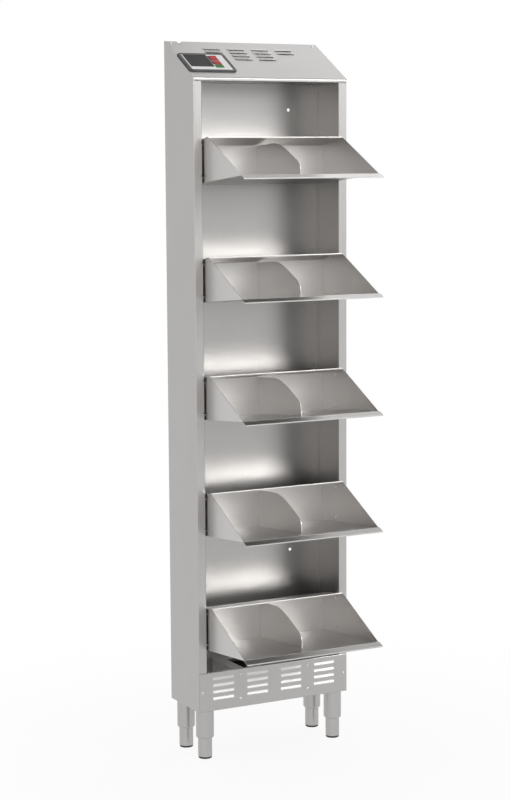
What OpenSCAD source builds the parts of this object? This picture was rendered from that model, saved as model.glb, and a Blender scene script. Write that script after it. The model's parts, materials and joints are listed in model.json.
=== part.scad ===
// Shoe dryer: a slim stainless cabinet on four legs, with five hanging bins,
// a warm air tray in its base and a sloped control head on top.
// Lengths are in millimetres. The origin is on the floor, in the middle of the
// part's footprint. The front faces -Y and up is +Z.

/* [Cabinet] */
// width over the side panels
body_w = 480; // [460:1:560]
// depth from the front flanges to the back
body_d = 180; // [175:1:220]
// height of the cabinet's front edge above its underside
front_h = 1762; // [1755:1:1850]
// rise of the sloped cover from front to back
slope_rise = 105; // [95:1:125]
// thickness of the cabinet's sheet
sheet_t = 1.5; // [1.2:0.1:1.8]
// width of the front flanges
flange_w = 26; // [24:1:32]
// depth of the returns behind the front flanges
return_d = 15; // [15:1:22]
// height of the rail across the top of the front
rail_h = 10; // [9:1:12]
// gap between the cabinet's underside and the back panel
back_gap = 6; // [5:1:20]

/* [Bins] */
// height of the top bin's upper edge above the floor
top_bin_z = 1741; // [1735:1:1750]
// distance from one bin to the next
bin_pitch = 325.5; // [320:0.5:330]
// reach of the end plates in front of the cabinet
bin_reach = 225; // [190:1:240]
// drop from the upper edge to the tip of the end plates
bin_drop = 100.5; // [95:0.5:110]
// height of the bin's back plate
bin_back_h = 107; // [100:1:112]
// thickness of the bins' sheet
bin_t = 1.2; // [1:0.1:1.5]
// gap between an end plate and the return beside it
bin_gap = 3; // [2.5:0.1:4]
// slope of the slots that the pins hang in
slot_angle = 30; // [25:1:35]

/* [Base] */
// height of the louvred panel at the foot of the front
kick_h = 111; // [108:1:116]
// length of one louvre in the base
kick_louvre_l = 71; // [60:1:72]
// height of one louvre in the base
kick_louvre_w = 9; // [8:0.5:11]

/* [Legs] */
// height of the cabinet above the floor
leg_h = 140; // [130:1:150]
// outside diameter of the legs' upper tubes
leg_dia = 50.8; // [48:0.1:52]
// outside diameter of the adjustable feet
foot_dia = 40; // [36:0.1:42]
// length of foot that stands out of the leg
foot_show = 59; // [50:1:65]

/* [Head] */
// width of the control panel's bezel
bezel_w = 146; // [142:1:148]
// length of the bezel up the slope
bezel_l = 103; // [101:1:106]
// height of the bezel above the cover
bezel_h = 4; // [3.5:0.5:6]

/* [Hidden] */
$fn = 48;
bin_count = 5;
tiny = 0.01;
half_w = body_w / 2;
inner_x = half_w - sheet_t;
open_x = half_w - flange_w;
front_z = leg_h + front_h;
kick_z = leg_h + kick_h;
rail_z = front_z - rail_h;
slope_a = atan(slope_rise / body_d);
slope_l = body_d / cos(slope_a);

// bin profile: y is depth behind the front, z is height above the upper edge
plate_out_x = open_x - bin_gap;
plate_in_x = plate_out_x - bin_t;
bin_hood = 25;
bin_in = 88;
bin_ceiling_fall = 22;
bin_top = [-bin_hood, 0];
bin_rear_top = [bin_in, -bin_ceiling_fall];
bin_rear_low = [bin_in - 7, -bin_ceiling_fall - bin_back_h];
bin_tip = [-bin_reach, -bin_drop];
lip_out = 18;
lip_fall = 8;
hem = 3;
upper_hem = 2.6;
lip_edge = [bin_tip.x - lip_out, bin_tip.y - lip_fall];
lip_over = 2.5;
pin_r = 3;
pin_y = 9;
pin_z = [-20, -109.5];
slot_r = pin_r + 0.05;

// the footprint reaches from the lips of the bins to the back panel
front_y = (bin_reach + lip_out - body_d) / 2;

// length of the cabinet's screws
screw_l = 7;

// warm air box: its top has the outlet, and a plate below carries the heater and the fan
tray_half = 108;
hood_z = kick_z - 11;
outlet_half = 77;
outlet_d = 120;
heater_room = 34;
tray_z = hood_z - heater_room;
tray_d = 27;
fan_y = body_d - 88;
fan_size = 120;
fan_t = 25;
fan_z = tray_z - sheet_t - fan_t;
rotor_axle_r = 4;

// legs
leg_x = half_w - 32;
leg_y = [29, body_d - 29];
leg_wall = 1.5;
pad_t = 5;
plate_t = 3;

// control panel, measured up the slope and across it
bezel_x = -half_w + 77;
bezel_s = 81.5;
bezel_r = 12;
bezel_rim = [10, 6.5];
face_r = 4;
face_t = 2;
tub_w = 112;
tub_l = 76;
tub_d = 22;
board_n = -9;
key_x = [bezel_x + 31, bezel_x + 31, bezel_x + 28.5];
key_w = [20, 20, 25];
key_s = [bezel_s + 23, bezel_s - 3.5, bezel_s - 23];
key_l = [27, 19, 15];
key_gap = 0.3;
key_rise = 1.2;

// Shared helpers

// unit vector to the right of a segment
function path_normal(a, b) = [(b - a).y, -(b - a).x] / norm(b - a);

// point i of a path, moved by distance t to the path's right
function path_offset(path, i, t) =
    let (before = i > 0 ? path_normal(path[i - 1], path[i]) : path_normal(path[0], path[1]))
    let (after = i < len(path) - 1 ? path_normal(path[i], path[i + 1]) : before)
    path[i] + t * (before + after) / (1 + before * after);

// outline of a bent sheet: the path is one face, the other is t to its right
function bent(path, t) = concat(path,
    [for (i = [len(path) - 1 : -1 : 0]) path_offset(path, i, t)]);

function bezier(p, steps) = [for (i = [0 : steps]) let (t = i / steps)
    pow(1 - t, 3) * p[0] + 3 * t * pow(1 - t, 2) * p[1]
    + 3 * t * t * (1 - t) * p[2] + pow(t, 3) * p[3]];

// moves a shape built from the cabinet's front plane into the part's frame
module placed() {
    translate([0, front_y, 0])
        children();
}

// extrudes a profile drawn in depth and height from x = low to x = high
module across(low, high) {
    translate([low, 0, 0])
        rotate([90, 0, 90])
            linear_extrude(height = high - low)
                children();
}

// x across, y up the slope, z out of the cover
module on_slope() {
    translate([0, 0, front_z])
        rotate([slope_a, 0, 0])
            children();
}

module box(low, high) {
    translate(low)
        cube(high - low);
}

module rounded_plate(size, r, h) {
    linear_extrude(height = h)
        hull()
            for (x = [-1, 1], y = [-1, 1])
                translate([x * (size.x / 2 - r), y * (size.y / 2 - r)])
                    circle(r = r);
}

// pan head screw standing on z = 0 with its shank below
module screw(head_r, head_h, shank_r, shank_l) {
    difference() {
        union() {
            cylinder(r = head_r, h = head_h * 0.6);
            translate([0, 0, head_h * 0.6])
                cylinder(r1 = head_r, r2 = head_r * 0.7, h = head_h * 0.4);
            translate([0, 0, -shank_l])
                cylinder(r = shank_r, h = shank_l + tiny);
        }
        for (a = [0, 90])
            rotate([0, 0, a])
                translate([-head_r * 0.55, -0.5, head_h * 0.5])
                    cube([head_r * 1.1, 1, head_h]);
    }
}

// everything above the cover's lower face is cut away
module above_slope(drop) {
    on_slope()
        translate([-half_w * 2, -slope_l, -drop])
            cube([half_w * 4, slope_l * 3, slope_rise * 4]);
}

function bin_z(k) = top_bin_z - (k - 1) * bin_pitch;

// Cabinet

module pin_slots() {
    for (k = [1 : bin_count], z = pin_z)
        translate([-open_x - 3, pin_y, bin_z(k) + z])
            rotate([0, 90, 0])
                cylinder(r = slot_r, h = 4);
    for (k = [1 : bin_count], z = pin_z)
        translate([-open_x - 3, pin_y, bin_z(k) + z])
            rotate([-slot_angle, 0, 0])
                translate([0, -2 * return_d, -slot_r])
                    cube([4, 2 * return_d, 2 * slot_r]);
}

// left panel, drawn from the front plane
module side_panel() {
    side = [[-half_w, 0], [-half_w, body_d]];
    front = [[-open_x, return_d], [-open_x, 0], [-half_w, 0], [-half_w, 2 * return_d]];
    difference() {
        union() {
            translate([0, 0, leg_h])
                linear_extrude(height = front_h + slope_rise)
                    polygon(bent(side, sheet_t));
            // front flange and its return
            translate([0, 0, kick_z + 0.4])
                linear_extrude(height = rail_z - kick_z - 0.8)
                    polygon(bent(front, sheet_t));
            // bottom flange
            box([-inner_x - tiny, 4, leg_h], [-inner_x + 24, body_d - 4, leg_h + sheet_t]);
            // tabs that the louvred panel and the top rail are screwed to
            box([-inner_x - tiny, sheet_t + 0.1, leg_h + sheet_t + plate_t + 1],
                [-inner_x + 22, 2 * sheet_t + 0.1, kick_z - sheet_t - 1]);
            box([-inner_x - tiny, sheet_t + 0.1, rail_z + sheet_t + 0.4],
                [-inner_x + 22, 2 * sheet_t + 0.1, front_z - sheet_t - 1.4]);
            // flange under the cover
            on_slope()
                box([-inner_x - tiny, 16, -2 * sheet_t - 0.1],
                    [-inner_x + 18, slope_l - 8, -sheet_t - 0.1]);
        }
        above_slope(0);
        pin_slots();
        for (z = [kick_z - kick_h / 2, front_z - 6])
            translate([-half_w + 12, 0, z])
                rotate([-90, 0, 0])
                    cylinder(r = 2, h = 3 * sheet_t);
        on_slope()
            translate([-half_w + 15, slope_l - 13, -3 * sheet_t])
                cylinder(r = 2, h = 3 * sheet_t);
    }
}

module side_panel_left() {
    color([0.72, 0.71, 0.7])
        placed()
            side_panel();
}

module side_panel_right() {
    color([0.72, 0.71, 0.7])
        placed()
            mirror([1, 0, 0])
                side_panel();
}

wall_x = half_w - 89;
wall_z = [leg_h + 397, front_z - 82];
gland_r = 8;
gland_x = -half_w + 45;
gland_z = front_z + slope_rise - 47;

module back_panel() {
    edge = inner_x;
    path = [[-edge, body_d - 22], [-edge, body_d], [edge, body_d], [edge, body_d - 22]];
    color([0.72, 0.71, 0.7])
        placed()
            difference() {
                translate([0, 0, leg_h + back_gap])
                    linear_extrude(height = front_h + slope_rise)
                        polygon(bent(path, sheet_t));
                above_slope(2 * sheet_t + 0.3);
                for (x = [-wall_x, wall_x], z = wall_z)
                    translate([x, body_d - 2 * sheet_t, z])
                        rotate([-90, 0, 0])
                            cylinder(r = 4.5, h = 3 * sheet_t);
                translate([gland_x, body_d - 2 * sheet_t, gland_z])
                    rotate([-90, 0, 0])
                        cylinder(r = gland_r + 0.1, h = 3 * sheet_t);
            }
}

module head_shelf() {
    fold = 13;
    top = front_z - (sheet_t + 0.1) / cos(slope_a);
    rear = body_d - sheet_t - 0.1;
    path = [[rear, rail_z + 18], [rear, rail_z], [0, rail_z], [0, top],
        [fold, top + fold * tan(slope_a)]];
    color([0.78, 0.76, 0.75])
        placed()
            difference() {
                across(-inner_x + 0.2, inner_x - 0.2)
                    polygon(bent(path, sheet_t));
                // rear corners leave room for the back panel's returns and the conduit
                for (m = [0, 1])
                    mirror([m, 0, 0])
                        box([-inner_x - 1, body_d - 26, rail_z - 1],
                            [-inner_x + 20, body_d + 1, rail_z + 30]);
                // the fold stops short of the tabs on the side panels
                for (x = [-1, 1])
                    translate([x * (inner_x - 11), sheet_t + 9, front_z])
                        cube([24, 18, 16], center = true);
                for (x = [-1, 1])
                    translate([x * (half_w - 12), -1, front_z - 6])
                        rotate([-90, 0, 0])
                            cylinder(r = 2.2, h = 3 * sheet_t);
            }
}

louvre_l = 60;
louvre_w = 11;
louvre_h = 2.5;
louvre_group = 75;
louvre_rows = [166, 147, 128, 109];
louvre_counts = [2, 4, 4, 2];
// notch in the cover's rear edge
notch_r = 7;
notch_d = 12;

// pressed hood over a louvre, open on its lower side
module hood(l, w, h) {
    across(-l / 2, l / 2)
        polygon([[0, -tiny], [0, h], [2, h], [w, 0.2], [w, -tiny]]);
}

module hood_cut(l, w, h) {
    across(-l / 2 + 1.2, l / 2 - 1.2)
        polygon([[-tiny, -2 * sheet_t], [-tiny, h - 1.2], [1.6, h - 1.2], [w - 4, -2 * sheet_t]]);
}

module each_louvre() {
    for (g = [0 : 3])
        for (r = [0 : louvre_counts[g] - 1])
            translate([(g - 1.5) * louvre_group, louvre_rows[r] - louvre_w / 2, 0])
                children();
}

module top_cover() {
    edge = inner_x - 0.2;
    cover_end = slope_l - sheet_t * tan(slope_a) - 0.1;
    color([0.72, 0.71, 0.7])
        placed()
            on_slope()
                difference() {
                    union() {
                        box([-edge, 0.4, -sheet_t], [edge, cover_end, 0]);
                        each_louvre()
                            hood(louvre_l, louvre_w, louvre_h);
                    }
                    each_louvre()
                        hood_cut(louvre_l, louvre_w, louvre_h);
                    translate([bezel_x, bezel_s, -2 * sheet_t])
                        rounded_plate([tub_w + 2, tub_l + 2], 3, 4 * sheet_t);
                    translate([gland_x, cover_end, -2 * sheet_t])
                        rounded_plate([2 * notch_r, 2 * notch_d], notch_r - tiny, 4 * sheet_t);
                    for (x = [-half_w + 15, half_w - 15])
                        translate([x, slope_l - 13, -2 * sheet_t])
                            cylinder(r = 2.2, h = 4 * sheet_t);
                }
}

module cover_screws() {
    color([0.85, 0.85, 0.86])
        placed() {
            for (x = [-half_w + 15, half_w - 15])
                on_slope()
                    translate([x, slope_l - 13, 0])
                        screw(4, 2.2, 1.95, screw_l);
            for (x = [-half_w + 12, half_w - 12])
                translate([x, 0, front_z - 6])
                    rotate([90, 0, 0])
                        screw(3, 1.8, 1.95, screw_l);
        }
}

// Base

kick_groups = 4;
kick_group = 108.5;
kick_rows = [18, 37, 56, 75];
kick_louvre_h = 3.2;

// x across, y up, z out of the panel
module each_kick_louvre() {
    for (g = [0 : kick_groups - 1], row = kick_rows)
        translate([(g - 1.5) * kick_group, 0, kick_z - row - kick_louvre_w / 2])
            rotate([90, 0, 0])
                children();
}

module at_kick_screws() {
    for (x = [-1, 1]) {
        translate([x * (half_w - 12), 0, kick_z - kick_h / 2])
            rotate([90, 0, 0])
                children();
        for (z = [16, 86])
            translate([x * tray_half, 0, kick_z - z])
                rotate([90, 0, 0])
                    children();
    }
}

module kick_panel() {
    path = [[16, leg_h], [0, leg_h], [0, kick_z], [10, kick_z]];
    edge = inner_x - 0.2;
    color([0.72, 0.71, 0.7])
        placed()
            difference() {
                union() {
                    across(-edge, edge)
                        polygon(bent(path, sheet_t));
                    each_kick_louvre()
                        hood(kick_louvre_l, kick_louvre_w, kick_louvre_h);
                }
                each_kick_louvre()
                    hood_cut(kick_louvre_l, kick_louvre_w, kick_louvre_h);
                at_kick_screws()
                    translate([0, 0, -3 * sheet_t])
                        cylinder(r = 2.2, h = 6 * sheet_t);
                // folds stop short of the leg plates, the side tabs and the tray
                for (x = [-1, 1])
                    translate([x * inner_x, sheet_t + 20, kick_z - kick_h / 2])
                        cube([50, 40, 2 * kick_h], center = true);
                for (x = [-1, 1])
                    translate([x * inner_x, sheet_t + 20, leg_h])
                        cube([130, 40, 20], center = true);
                for (x = [-1, 1])
                    translate([x * tray_half, sheet_t + 20, kick_z])
                        cube([36, 40, 20], center = true);
            }
}

module kick_screws() {
    color([0.85, 0.85, 0.86])
        placed()
            at_kick_screws()
                screw(3.5, 1.8, 1.95, screw_l);
}

module fan_tray() {
    path = [[-tray_half, tray_z - tray_d], [-tray_half, hood_z],
        [tray_half, hood_z], [tray_half, tray_z - tray_d]];
    front = sheet_t + 0.1;
    rear = body_d - sheet_t - 0.1;
    color([0.66, 0.65, 0.64])
        placed()
            difference() {
                union() {
                    translate([0, rear, 0])
                        rotate([90, 0, 0])
                            linear_extrude(height = rear - front)
                                polygon(bent(path, sheet_t));
                    // plate that carries the heater and the fan
                    box([-tray_half + tiny, front, tray_z - sheet_t], [tray_half - tiny, rear, tray_z]);
                    // uprights behind the louvred panel
                    for (x = [-1, 1])
                        translate([x * tray_half - 16, front, kick_z - 96])
                            cube([32, sheet_t, 96 - 2]);
                    // rear flange
                    box([-tray_half, rear - sheet_t, tray_z - tray_d], [tray_half, rear, tray_z - tiny]);
                }
                box([-outlet_half, fan_y - outlet_d / 2, hood_z - 2 * sheet_t],
                    [outlet_half, fan_y + outlet_d / 2, hood_z + sheet_t]);
                translate([0, fan_y, tray_z - 2 * sheet_t])
                    cylinder(r = 57, h = 4 * sheet_t, $fn = 72);
                for (x = [-52.5, 52.5], y = [-52.5, 52.5])
                    translate([x, fan_y + y, tray_z - 2 * sheet_t])
                        cylinder(r = 2.2, h = 4 * sheet_t);
                at_kick_screws()
                    translate([0, 0, -screw_l - 1])
                        cylinder(r = 2, h = 2 * screw_l);
            }
}

// square frame with a round duct, a hub plate and its struts
module fan_frame() {
    color([0.06, 0.06, 0.06])
        placed()
            translate([0, fan_y, fan_z])
                difference() {
                    union() {
                        difference() {
                            rounded_plate([fan_size, fan_size], 6, fan_t);
                            translate([0, 0, -1])
                                cylinder(r = 57, h = fan_t + 2, $fn = 72);
                        }
                        cylinder(r = 19, h = 3);
                        cylinder(r = rotor_axle_r, h = 17);
                        for (a = [45, 135, 225, 315])
                            rotate([0, 0, a])
                                translate([17, -2.5, 0])
                                    cube([42, 5, 3]);
                    }
                    for (x = [-52.5, 52.5], y = [-52.5, 52.5])
                        translate([x, y, -1])
                            cylinder(r = 2.2, h = fan_t + 2);
                }
}

blades = 7;

// hub with blades that turn on the frame's axle
module fan_rotor() {
    color([0.08, 0.08, 0.08])
        placed()
            translate([0, fan_y, fan_z])
                difference() {
                    union() {
                        translate([0, 0, 4])
                            cylinder(r = 20, h = 18);
                        for (b = [0 : blades - 1])
                            rotate([0, 0, b * 360 / blades])
                                translate([18, 0, 13])
                                    rotate([35, 0, 0])
                                        translate([0, -12, -0.75])
                                            cube([36, 24, 1.5]);
                    }
                    translate([0, 0, 3])
                        cylinder(r = rotor_axle_r + 0.05, h = 15);
                    translate([0, 0, 3])
                        cylinder(r = 8, h = 2);
                }
}

heater_half = 94;
heater_d = 120;
heater_h = 30;
tube_r = 4;
tube_gap = 36;
fin_d = 104;
fin_h = 24;
fin_count = 23;
fin_gap = 2 * heater_half / (fin_count + 1);

// finned tubes across the air outlet, held by a plate at each end
module heater() {
    color([0.05, 0.05, 0.05])
        placed()
            translate([0, fan_y, tray_z]) {
                for (x = [-1, 1])
                    translate([x * heater_half - 1, -heater_d / 2, 0])
                        cube([2, heater_d, heater_h]);
                for (x = [-1, 1])
                    translate([x * (heater_half + 1.8) - 4, -heater_d / 2, 0])
                        cube([8, heater_d, 1.5]);
                for (y = [-tube_gap, 0, tube_gap])
                    translate([-heater_half - 6, y, 4 + fin_h / 2])
                        rotate([0, 90, 0])
                            cylinder(r = tube_r, h = 2 * heater_half + 12);
                for (i = [1 : fin_count])
                    translate([-heater_half + i * fin_gap - 0.5, -fin_d / 2, 4])
                        cube([1, fin_d, fin_h]);
            }
}

module thermostat() {
    color([0.8, 0.78, 0.74])
        placed()
            translate([0, body_d - 22, tray_z]) {
                cylinder(r = 8, h = 6);
                translate([0, 0, 6])
                    cylinder(r = 6.5, h = 4);
                for (x = [-4, 4])
                    translate([x - 1.5, -0.4, 10 - tiny])
                        cube([3, 0.8, 7]);
            }
}

// Legs

module at_leg(side, row) {
    translate([side * leg_x, leg_y[row], 0])
        children();
}

module leg_plate_left() {
    color([0.62, 0.62, 0.62])
        placed()
            leg_plate_shape();
}

module leg_plate_right() {
    color([0.62, 0.62, 0.62])
        placed()
            mirror([1, 0, 0])
                leg_plate_shape();
}

module leg_plate_shape() {
    difference() {
        box([-inner_x + 0.2, sheet_t + 3, leg_h + sheet_t],
            [-leg_x + 31, body_d - 4, leg_h + sheet_t + plate_t]);
        for (row = [0, 1])
            at_leg(-1, row)
                translate([0, 0, leg_h])
                    cylinder(r = 5.2, h = 10);
    }
}

// closed tube with a rounded guide ring at its lower end
module leg_tube() {
    r = leg_dia / 2;
    bore = foot_dia / 2 + 0.05;
    color([0.72, 0.71, 0.7])
        rotate_extrude($fn = 64)
            polygon([[0, leg_h], [r - 1, leg_h], [r, leg_h - 1], [r, foot_show + 5],
                [r - 0.7, foot_show + 2.4], [r - 2.4, foot_show + 0.7], [r - 5, foot_show],
                [bore, foot_show], [bore, foot_show + 12], [r - leg_wall, foot_show + 12],
                [r - leg_wall, leg_h - 4], [0, leg_h - 4]]);
}

module foot_tube() {
    r = foot_dia / 2;
    top = foot_show + 52;
    color([0.72, 0.71, 0.7])
        rotate_extrude($fn = 64)
            polygon([[0, pad_t], [r - 1, pad_t], [r, pad_t + 1], [r, top],
                [r - leg_wall, top], [r - leg_wall, pad_t + 2], [0, pad_t + 2]]);
}

module foot_pad() {
    color([0.12, 0.12, 0.12])
        rotate_extrude($fn = 64)
            polygon([[0, 0], [foot_dia / 2 - 2, 0], [foot_dia / 2 - 1, 1],
                [foot_dia / 2 - 1, pad_t], [0, pad_t]]);
}

module leg_front_left() placed() at_leg(-1, 0) leg_tube();
module leg_front_right() placed() at_leg(1, 0) leg_tube();
module leg_rear_left() placed() at_leg(-1, 1) leg_tube();
module leg_rear_right() placed() at_leg(1, 1) leg_tube();
module foot_front_left() placed() at_leg(-1, 0) foot_tube();
module foot_front_right() placed() at_leg(1, 0) foot_tube();
module foot_rear_left() placed() at_leg(-1, 1) foot_tube();
module foot_rear_right() placed() at_leg(1, 1) foot_tube();
module pad_front_left() placed() at_leg(-1, 0) foot_pad();
module pad_front_right() placed() at_leg(1, 0) foot_pad();
module pad_rear_left() placed() at_leg(-1, 1) foot_pad();
module pad_rear_right() placed() at_leg(1, 1) foot_pad();

// stud and nut above each leg plate
module leg_bolts() {
    color([0.8, 0.8, 0.8])
        placed()
            for (side = [-1, 1], row = [0, 1])
                at_leg(side, row) {
                    translate([0, 0, leg_h])
                        cylinder(r = 5, h = 16);
                    translate([0, 0, leg_h + sheet_t + plate_t])
                        cylinder(r = 9.2, h = 8, $fn = 6);
                }
}

// Bins

module in_bin(k) {
    placed()
        translate([0, 0, bin_z(k)])
            children();
}

// folded sheet: upper hem, ceiling, back and floor, then the wider lip
module bin_pan(k) {
    shell = [bin_tip, bin_rear_low, bin_rear_top, bin_top, bin_top - [0, upper_hem]];
    lip = [bin_tip + [tiny, 0], lip_edge, lip_edge - [0, hem]];
    color([0.7, 0.69, 0.68])
        in_bin(k) {
            across(-plate_in_x, plate_in_x)
                polygon(bent(shell, bin_t));
            across(-plate_out_x - lip_over, plate_out_x + lip_over)
                polygon(bent(lip, -bin_t));
        }
}

module end_plate() {
    across(plate_in_x, plate_out_x)
        polygon([bin_top + [0, 1], bin_rear_top + [bin_t, bin_t], bin_rear_low + [bin_t, -bin_t],
            bin_tip + [0.3, -bin_t]]);
}

module bin_ends(k) {
    color([0.7, 0.69, 0.68])
        in_bin(k)
            difference() {
                union() {
                    end_plate();
                    mirror([1, 0, 0])
                        end_plate();
                }
                for (z = pin_z)
                    translate([-half_w, pin_y, z])
                        rotate([0, 90, 0])
                            cylinder(r = pin_r, h = body_w);
            }
}

// the divider stops short of the bin's tip, and its edge dips to a rounded nose
divider_end = bin_tip.x + 62;
nose = [divider_end + 20, -62];
dip = 43;
divider_edge = concat(
    [[bin_in - 80, -18]],
    bezier([[-15, -17], nose + [2 * dip - 5, dip + 1], nose + [dip, dip - 25], nose], 8),
    bezier([nose, nose - [13, 6], nose - [20, 16], nose - [20, 32]], 6));

module bin_divider(k) {
    floor_rise = (bin_tip.y - bin_rear_low.y) / (bin_rear_low.x - bin_tip.x);
    foot = [divider_end, bin_rear_low.y + (bin_rear_low.x - divider_end) * floor_rise];
    color([0.74, 0.72, 0.71])
        in_bin(k)
            across(-bin_t / 2, bin_t / 2)
                polygon(concat([bin_rear_low, bin_rear_top - [0.3, 2]], divider_edge, [foot]));
}

// four hanging pins, headed inside the bin
module bin_pins(k) {
    color([0.55, 0.55, 0.55])
        in_bin(k)
            for (m = [0, 1], z = pin_z)
                mirror([m, 0, 0])
                    translate([0, pin_y, z])
                        rotate([0, 90, 0]) {
                            translate([0, 0, plate_in_x - 1.5])
                                cylinder(r = 4.5, h = 1.5);
                            translate([0, 0, plate_in_x - 1])
                                cylinder(r = pin_r, h = bin_t + bin_gap + sheet_t + 1.8);
                        }
}

module bin_pan_1() bin_pan(1);
module bin_ends_1() bin_ends(1);
module bin_divider_1() bin_divider(1);
module bin_pins_1() bin_pins(1);
module bin_pan_2() bin_pan(2);
module bin_ends_2() bin_ends(2);
module bin_divider_2() bin_divider(2);
module bin_pins_2() bin_pins(2);
module bin_pan_3() bin_pan(3);
module bin_ends_3() bin_ends(3);
module bin_divider_3() bin_divider(3);
module bin_pins_3() bin_pins(3);
module bin_pan_4() bin_pan(4);
module bin_ends_4() bin_ends(4);
module bin_divider_4() bin_divider(4);
module bin_pins_4() bin_pins(4);
module bin_pan_5() bin_pan(5);
module bin_ends_5() bin_ends(5);
module bin_divider_5() bin_divider(5);
module bin_pins_5() bin_pins(5);

// Control head

module at_bezel() {
    on_slope()
        translate([bezel_x, bezel_s, 0])
            children();
}

face_low = bezel_h - 1 - face_t;
display_x = [bezel_x - 58.5, bezel_x + 13];
display_s = [bezel_s - 26.5, bezel_s + 43.5];
indicator_x = [bezel_x + 14, bezel_x + 20];
indicator_s = [bezel_s - 12.5, bezel_s + 36.5];

// ring that frames the face plate and covers the cut in the cover
module control_bezel() {
    color([0.2, 0.2, 0.21])
        placed()
            at_bezel()
                difference() {
                    rounded_plate([bezel_w, bezel_l], bezel_r, bezel_h);
                    translate([0, 0, face_low])
                        rounded_plate([bezel_w, bezel_l] - 2 * bezel_rim, face_r, bezel_h);
                    translate([0, 0, -1])
                        rounded_plate([tub_w, tub_l], 3, bezel_h + 2);
                }
}

module key_holes(grow, low, high) {
    for (i = [0 : 2])
        translate([key_x[i] - key_w[i] / 2 - grow, key_s[i] - key_l[i] / 2 - grow, low])
            cube([key_w[i] + 2 * grow, key_l[i] + 2 * grow, high - low]);
}

module control_face() {
    color([0.93, 0.93, 0.92])
        placed()
            on_slope()
                difference() {
                    translate([bezel_x, bezel_s, face_low])
                        rounded_plate([bezel_w - 0.2, bezel_l - 0.2] - 2 * bezel_rim, face_r, face_t);
                    key_holes(key_gap, 0, 2 * bezel_h);
                    box([display_x[0], display_s[0], face_low + 1],
                        [display_x[1], display_s[1], 2 * bezel_h]);
                    box([indicator_x[0], indicator_s[0], face_low + 1],
                        [indicator_x[1], indicator_s[1], 2 * bezel_h]);
                }
}

module display_window() {
    color([0.03, 0.03, 0.03])
        placed()
            on_slope()
                box([display_x[0], display_s[0], face_low + 1],
                    [display_x[1], display_s[1], face_low + face_t + 0.3]);
}

module indicator_window() {
    color([0.2, 0.02, 0.02])
        placed()
            on_slope()
                box([indicator_x[0], indicator_s[0], face_low + 1],
                    [indicator_x[1], indicator_s[1], face_low + face_t + 0.3]);
}

key_cap_t = 2.2;

// cap with a stem that reaches down to its switch
module key(i) {
    placed()
        on_slope()
            translate([key_x[i], key_s[i], face_low + face_t + key_rise]) {
                translate([-key_w[i] / 2, -key_l[i] / 2, -key_cap_t])
                    cube([key_w[i], key_l[i], key_cap_t]);
                translate([0, 0, board_n + 5.2 - face_low - face_t - key_rise])
                    cylinder(r = 2, h = face_low + face_t + key_rise - board_n - 5.2 - 1);
            }
}

module timer_key() color([0.75, 0.1, 0.1]) key(0);
module stop_key() color([0.75, 0.1, 0.1]) key(1);
module start_key() color([0.12, 0.45, 0.14]) key(2);

// tub under the face that holds the board
module controller_tub() {
    color([0.15, 0.15, 0.15])
        placed()
            at_bezel()
                difference() {
                    translate([0, 0, -tub_d])
                        rounded_plate([tub_w - 0.4, tub_l - 0.4], 3, tub_d + face_low);
                    translate([0, 0, 2 - tub_d])
                        rounded_plate([tub_w - 4, tub_l - 4], 2, tub_d + 2 * bezel_h);
                }
}

// board on its pillars, with a switch under each key
module control_board() {
    color([0.05, 0.25, 0.12])
        placed() {
            at_bezel() {
                translate([0, 0, board_n])
                    rounded_plate([tub_w - 6, tub_l - 6], 1, 1.6);
                for (x = [-1, 1], y = [-1, 1])
                    translate([x * (tub_w / 2 - 8), y * (tub_l / 2 - 8), 2 - tub_d])
                        cylinder(r = 3, h = board_n - 2 + tub_d + tiny);
            }
            on_slope()
                for (i = [0 : 2])
                    translate([key_x[i] - 3, key_s[i] - 3, board_n + 1.6 - tiny])
                        cube([6, 6, 2.8]);
        }
}

module terminal_block() {
    color([0.85, 0.84, 0.8])
        placed()
            translate([60, body_d - 42, rail_z + sheet_t])
                difference() {
                    union() {
                        cube([64, 20, 12]);
                        translate([0, 6, 12 - tiny])
                            cube([64, 8, 6]);
                    }
                    for (i = [0 : 4])
                        translate([8 + 12 * i, 10, 6])
                            cylinder(r = 2.6, h = 20);
                    for (i = [0 : 4])
                        translate([8 + 12 * i, -1, 5])
                            rotate([-90, 0, 0])
                                cylinder(r = 2, h = 30);
                }
}

module cable_gland() {
    color([0.1, 0.1, 0.1])
        placed()
            translate([gland_x, body_d, gland_z])
                rotate([90, 0, 0])
                    difference() {
                        union() {
                            cylinder(r = gland_r, h = 14);
                            translate([0, 0, sheet_t])
                                cylinder(r = gland_r + 3, h = 4);
                        }
                        translate([0, 0, -1])
                            cylinder(r = 4.5, h = 20);
                    }
}

// square trunking in the rear left corner, from the head down to the tray
module cable_conduit() {
    s = 15;
    low = kick_z + 12;
    high = rail_z + 12;
    edge = -inner_x + sheet_t + 0.2;
    color([0.75, 0.75, 0.74])
        placed()
            difference() {
                box([edge, body_d - sheet_t - s, low], [edge + s, body_d - sheet_t, high]);
                box([edge + 1.2, body_d - sheet_t - s + 1.2, low - 1],
                    [edge + s - 1.2, body_d - sheet_t - 1.2, high + 1]);
            }
}

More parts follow.
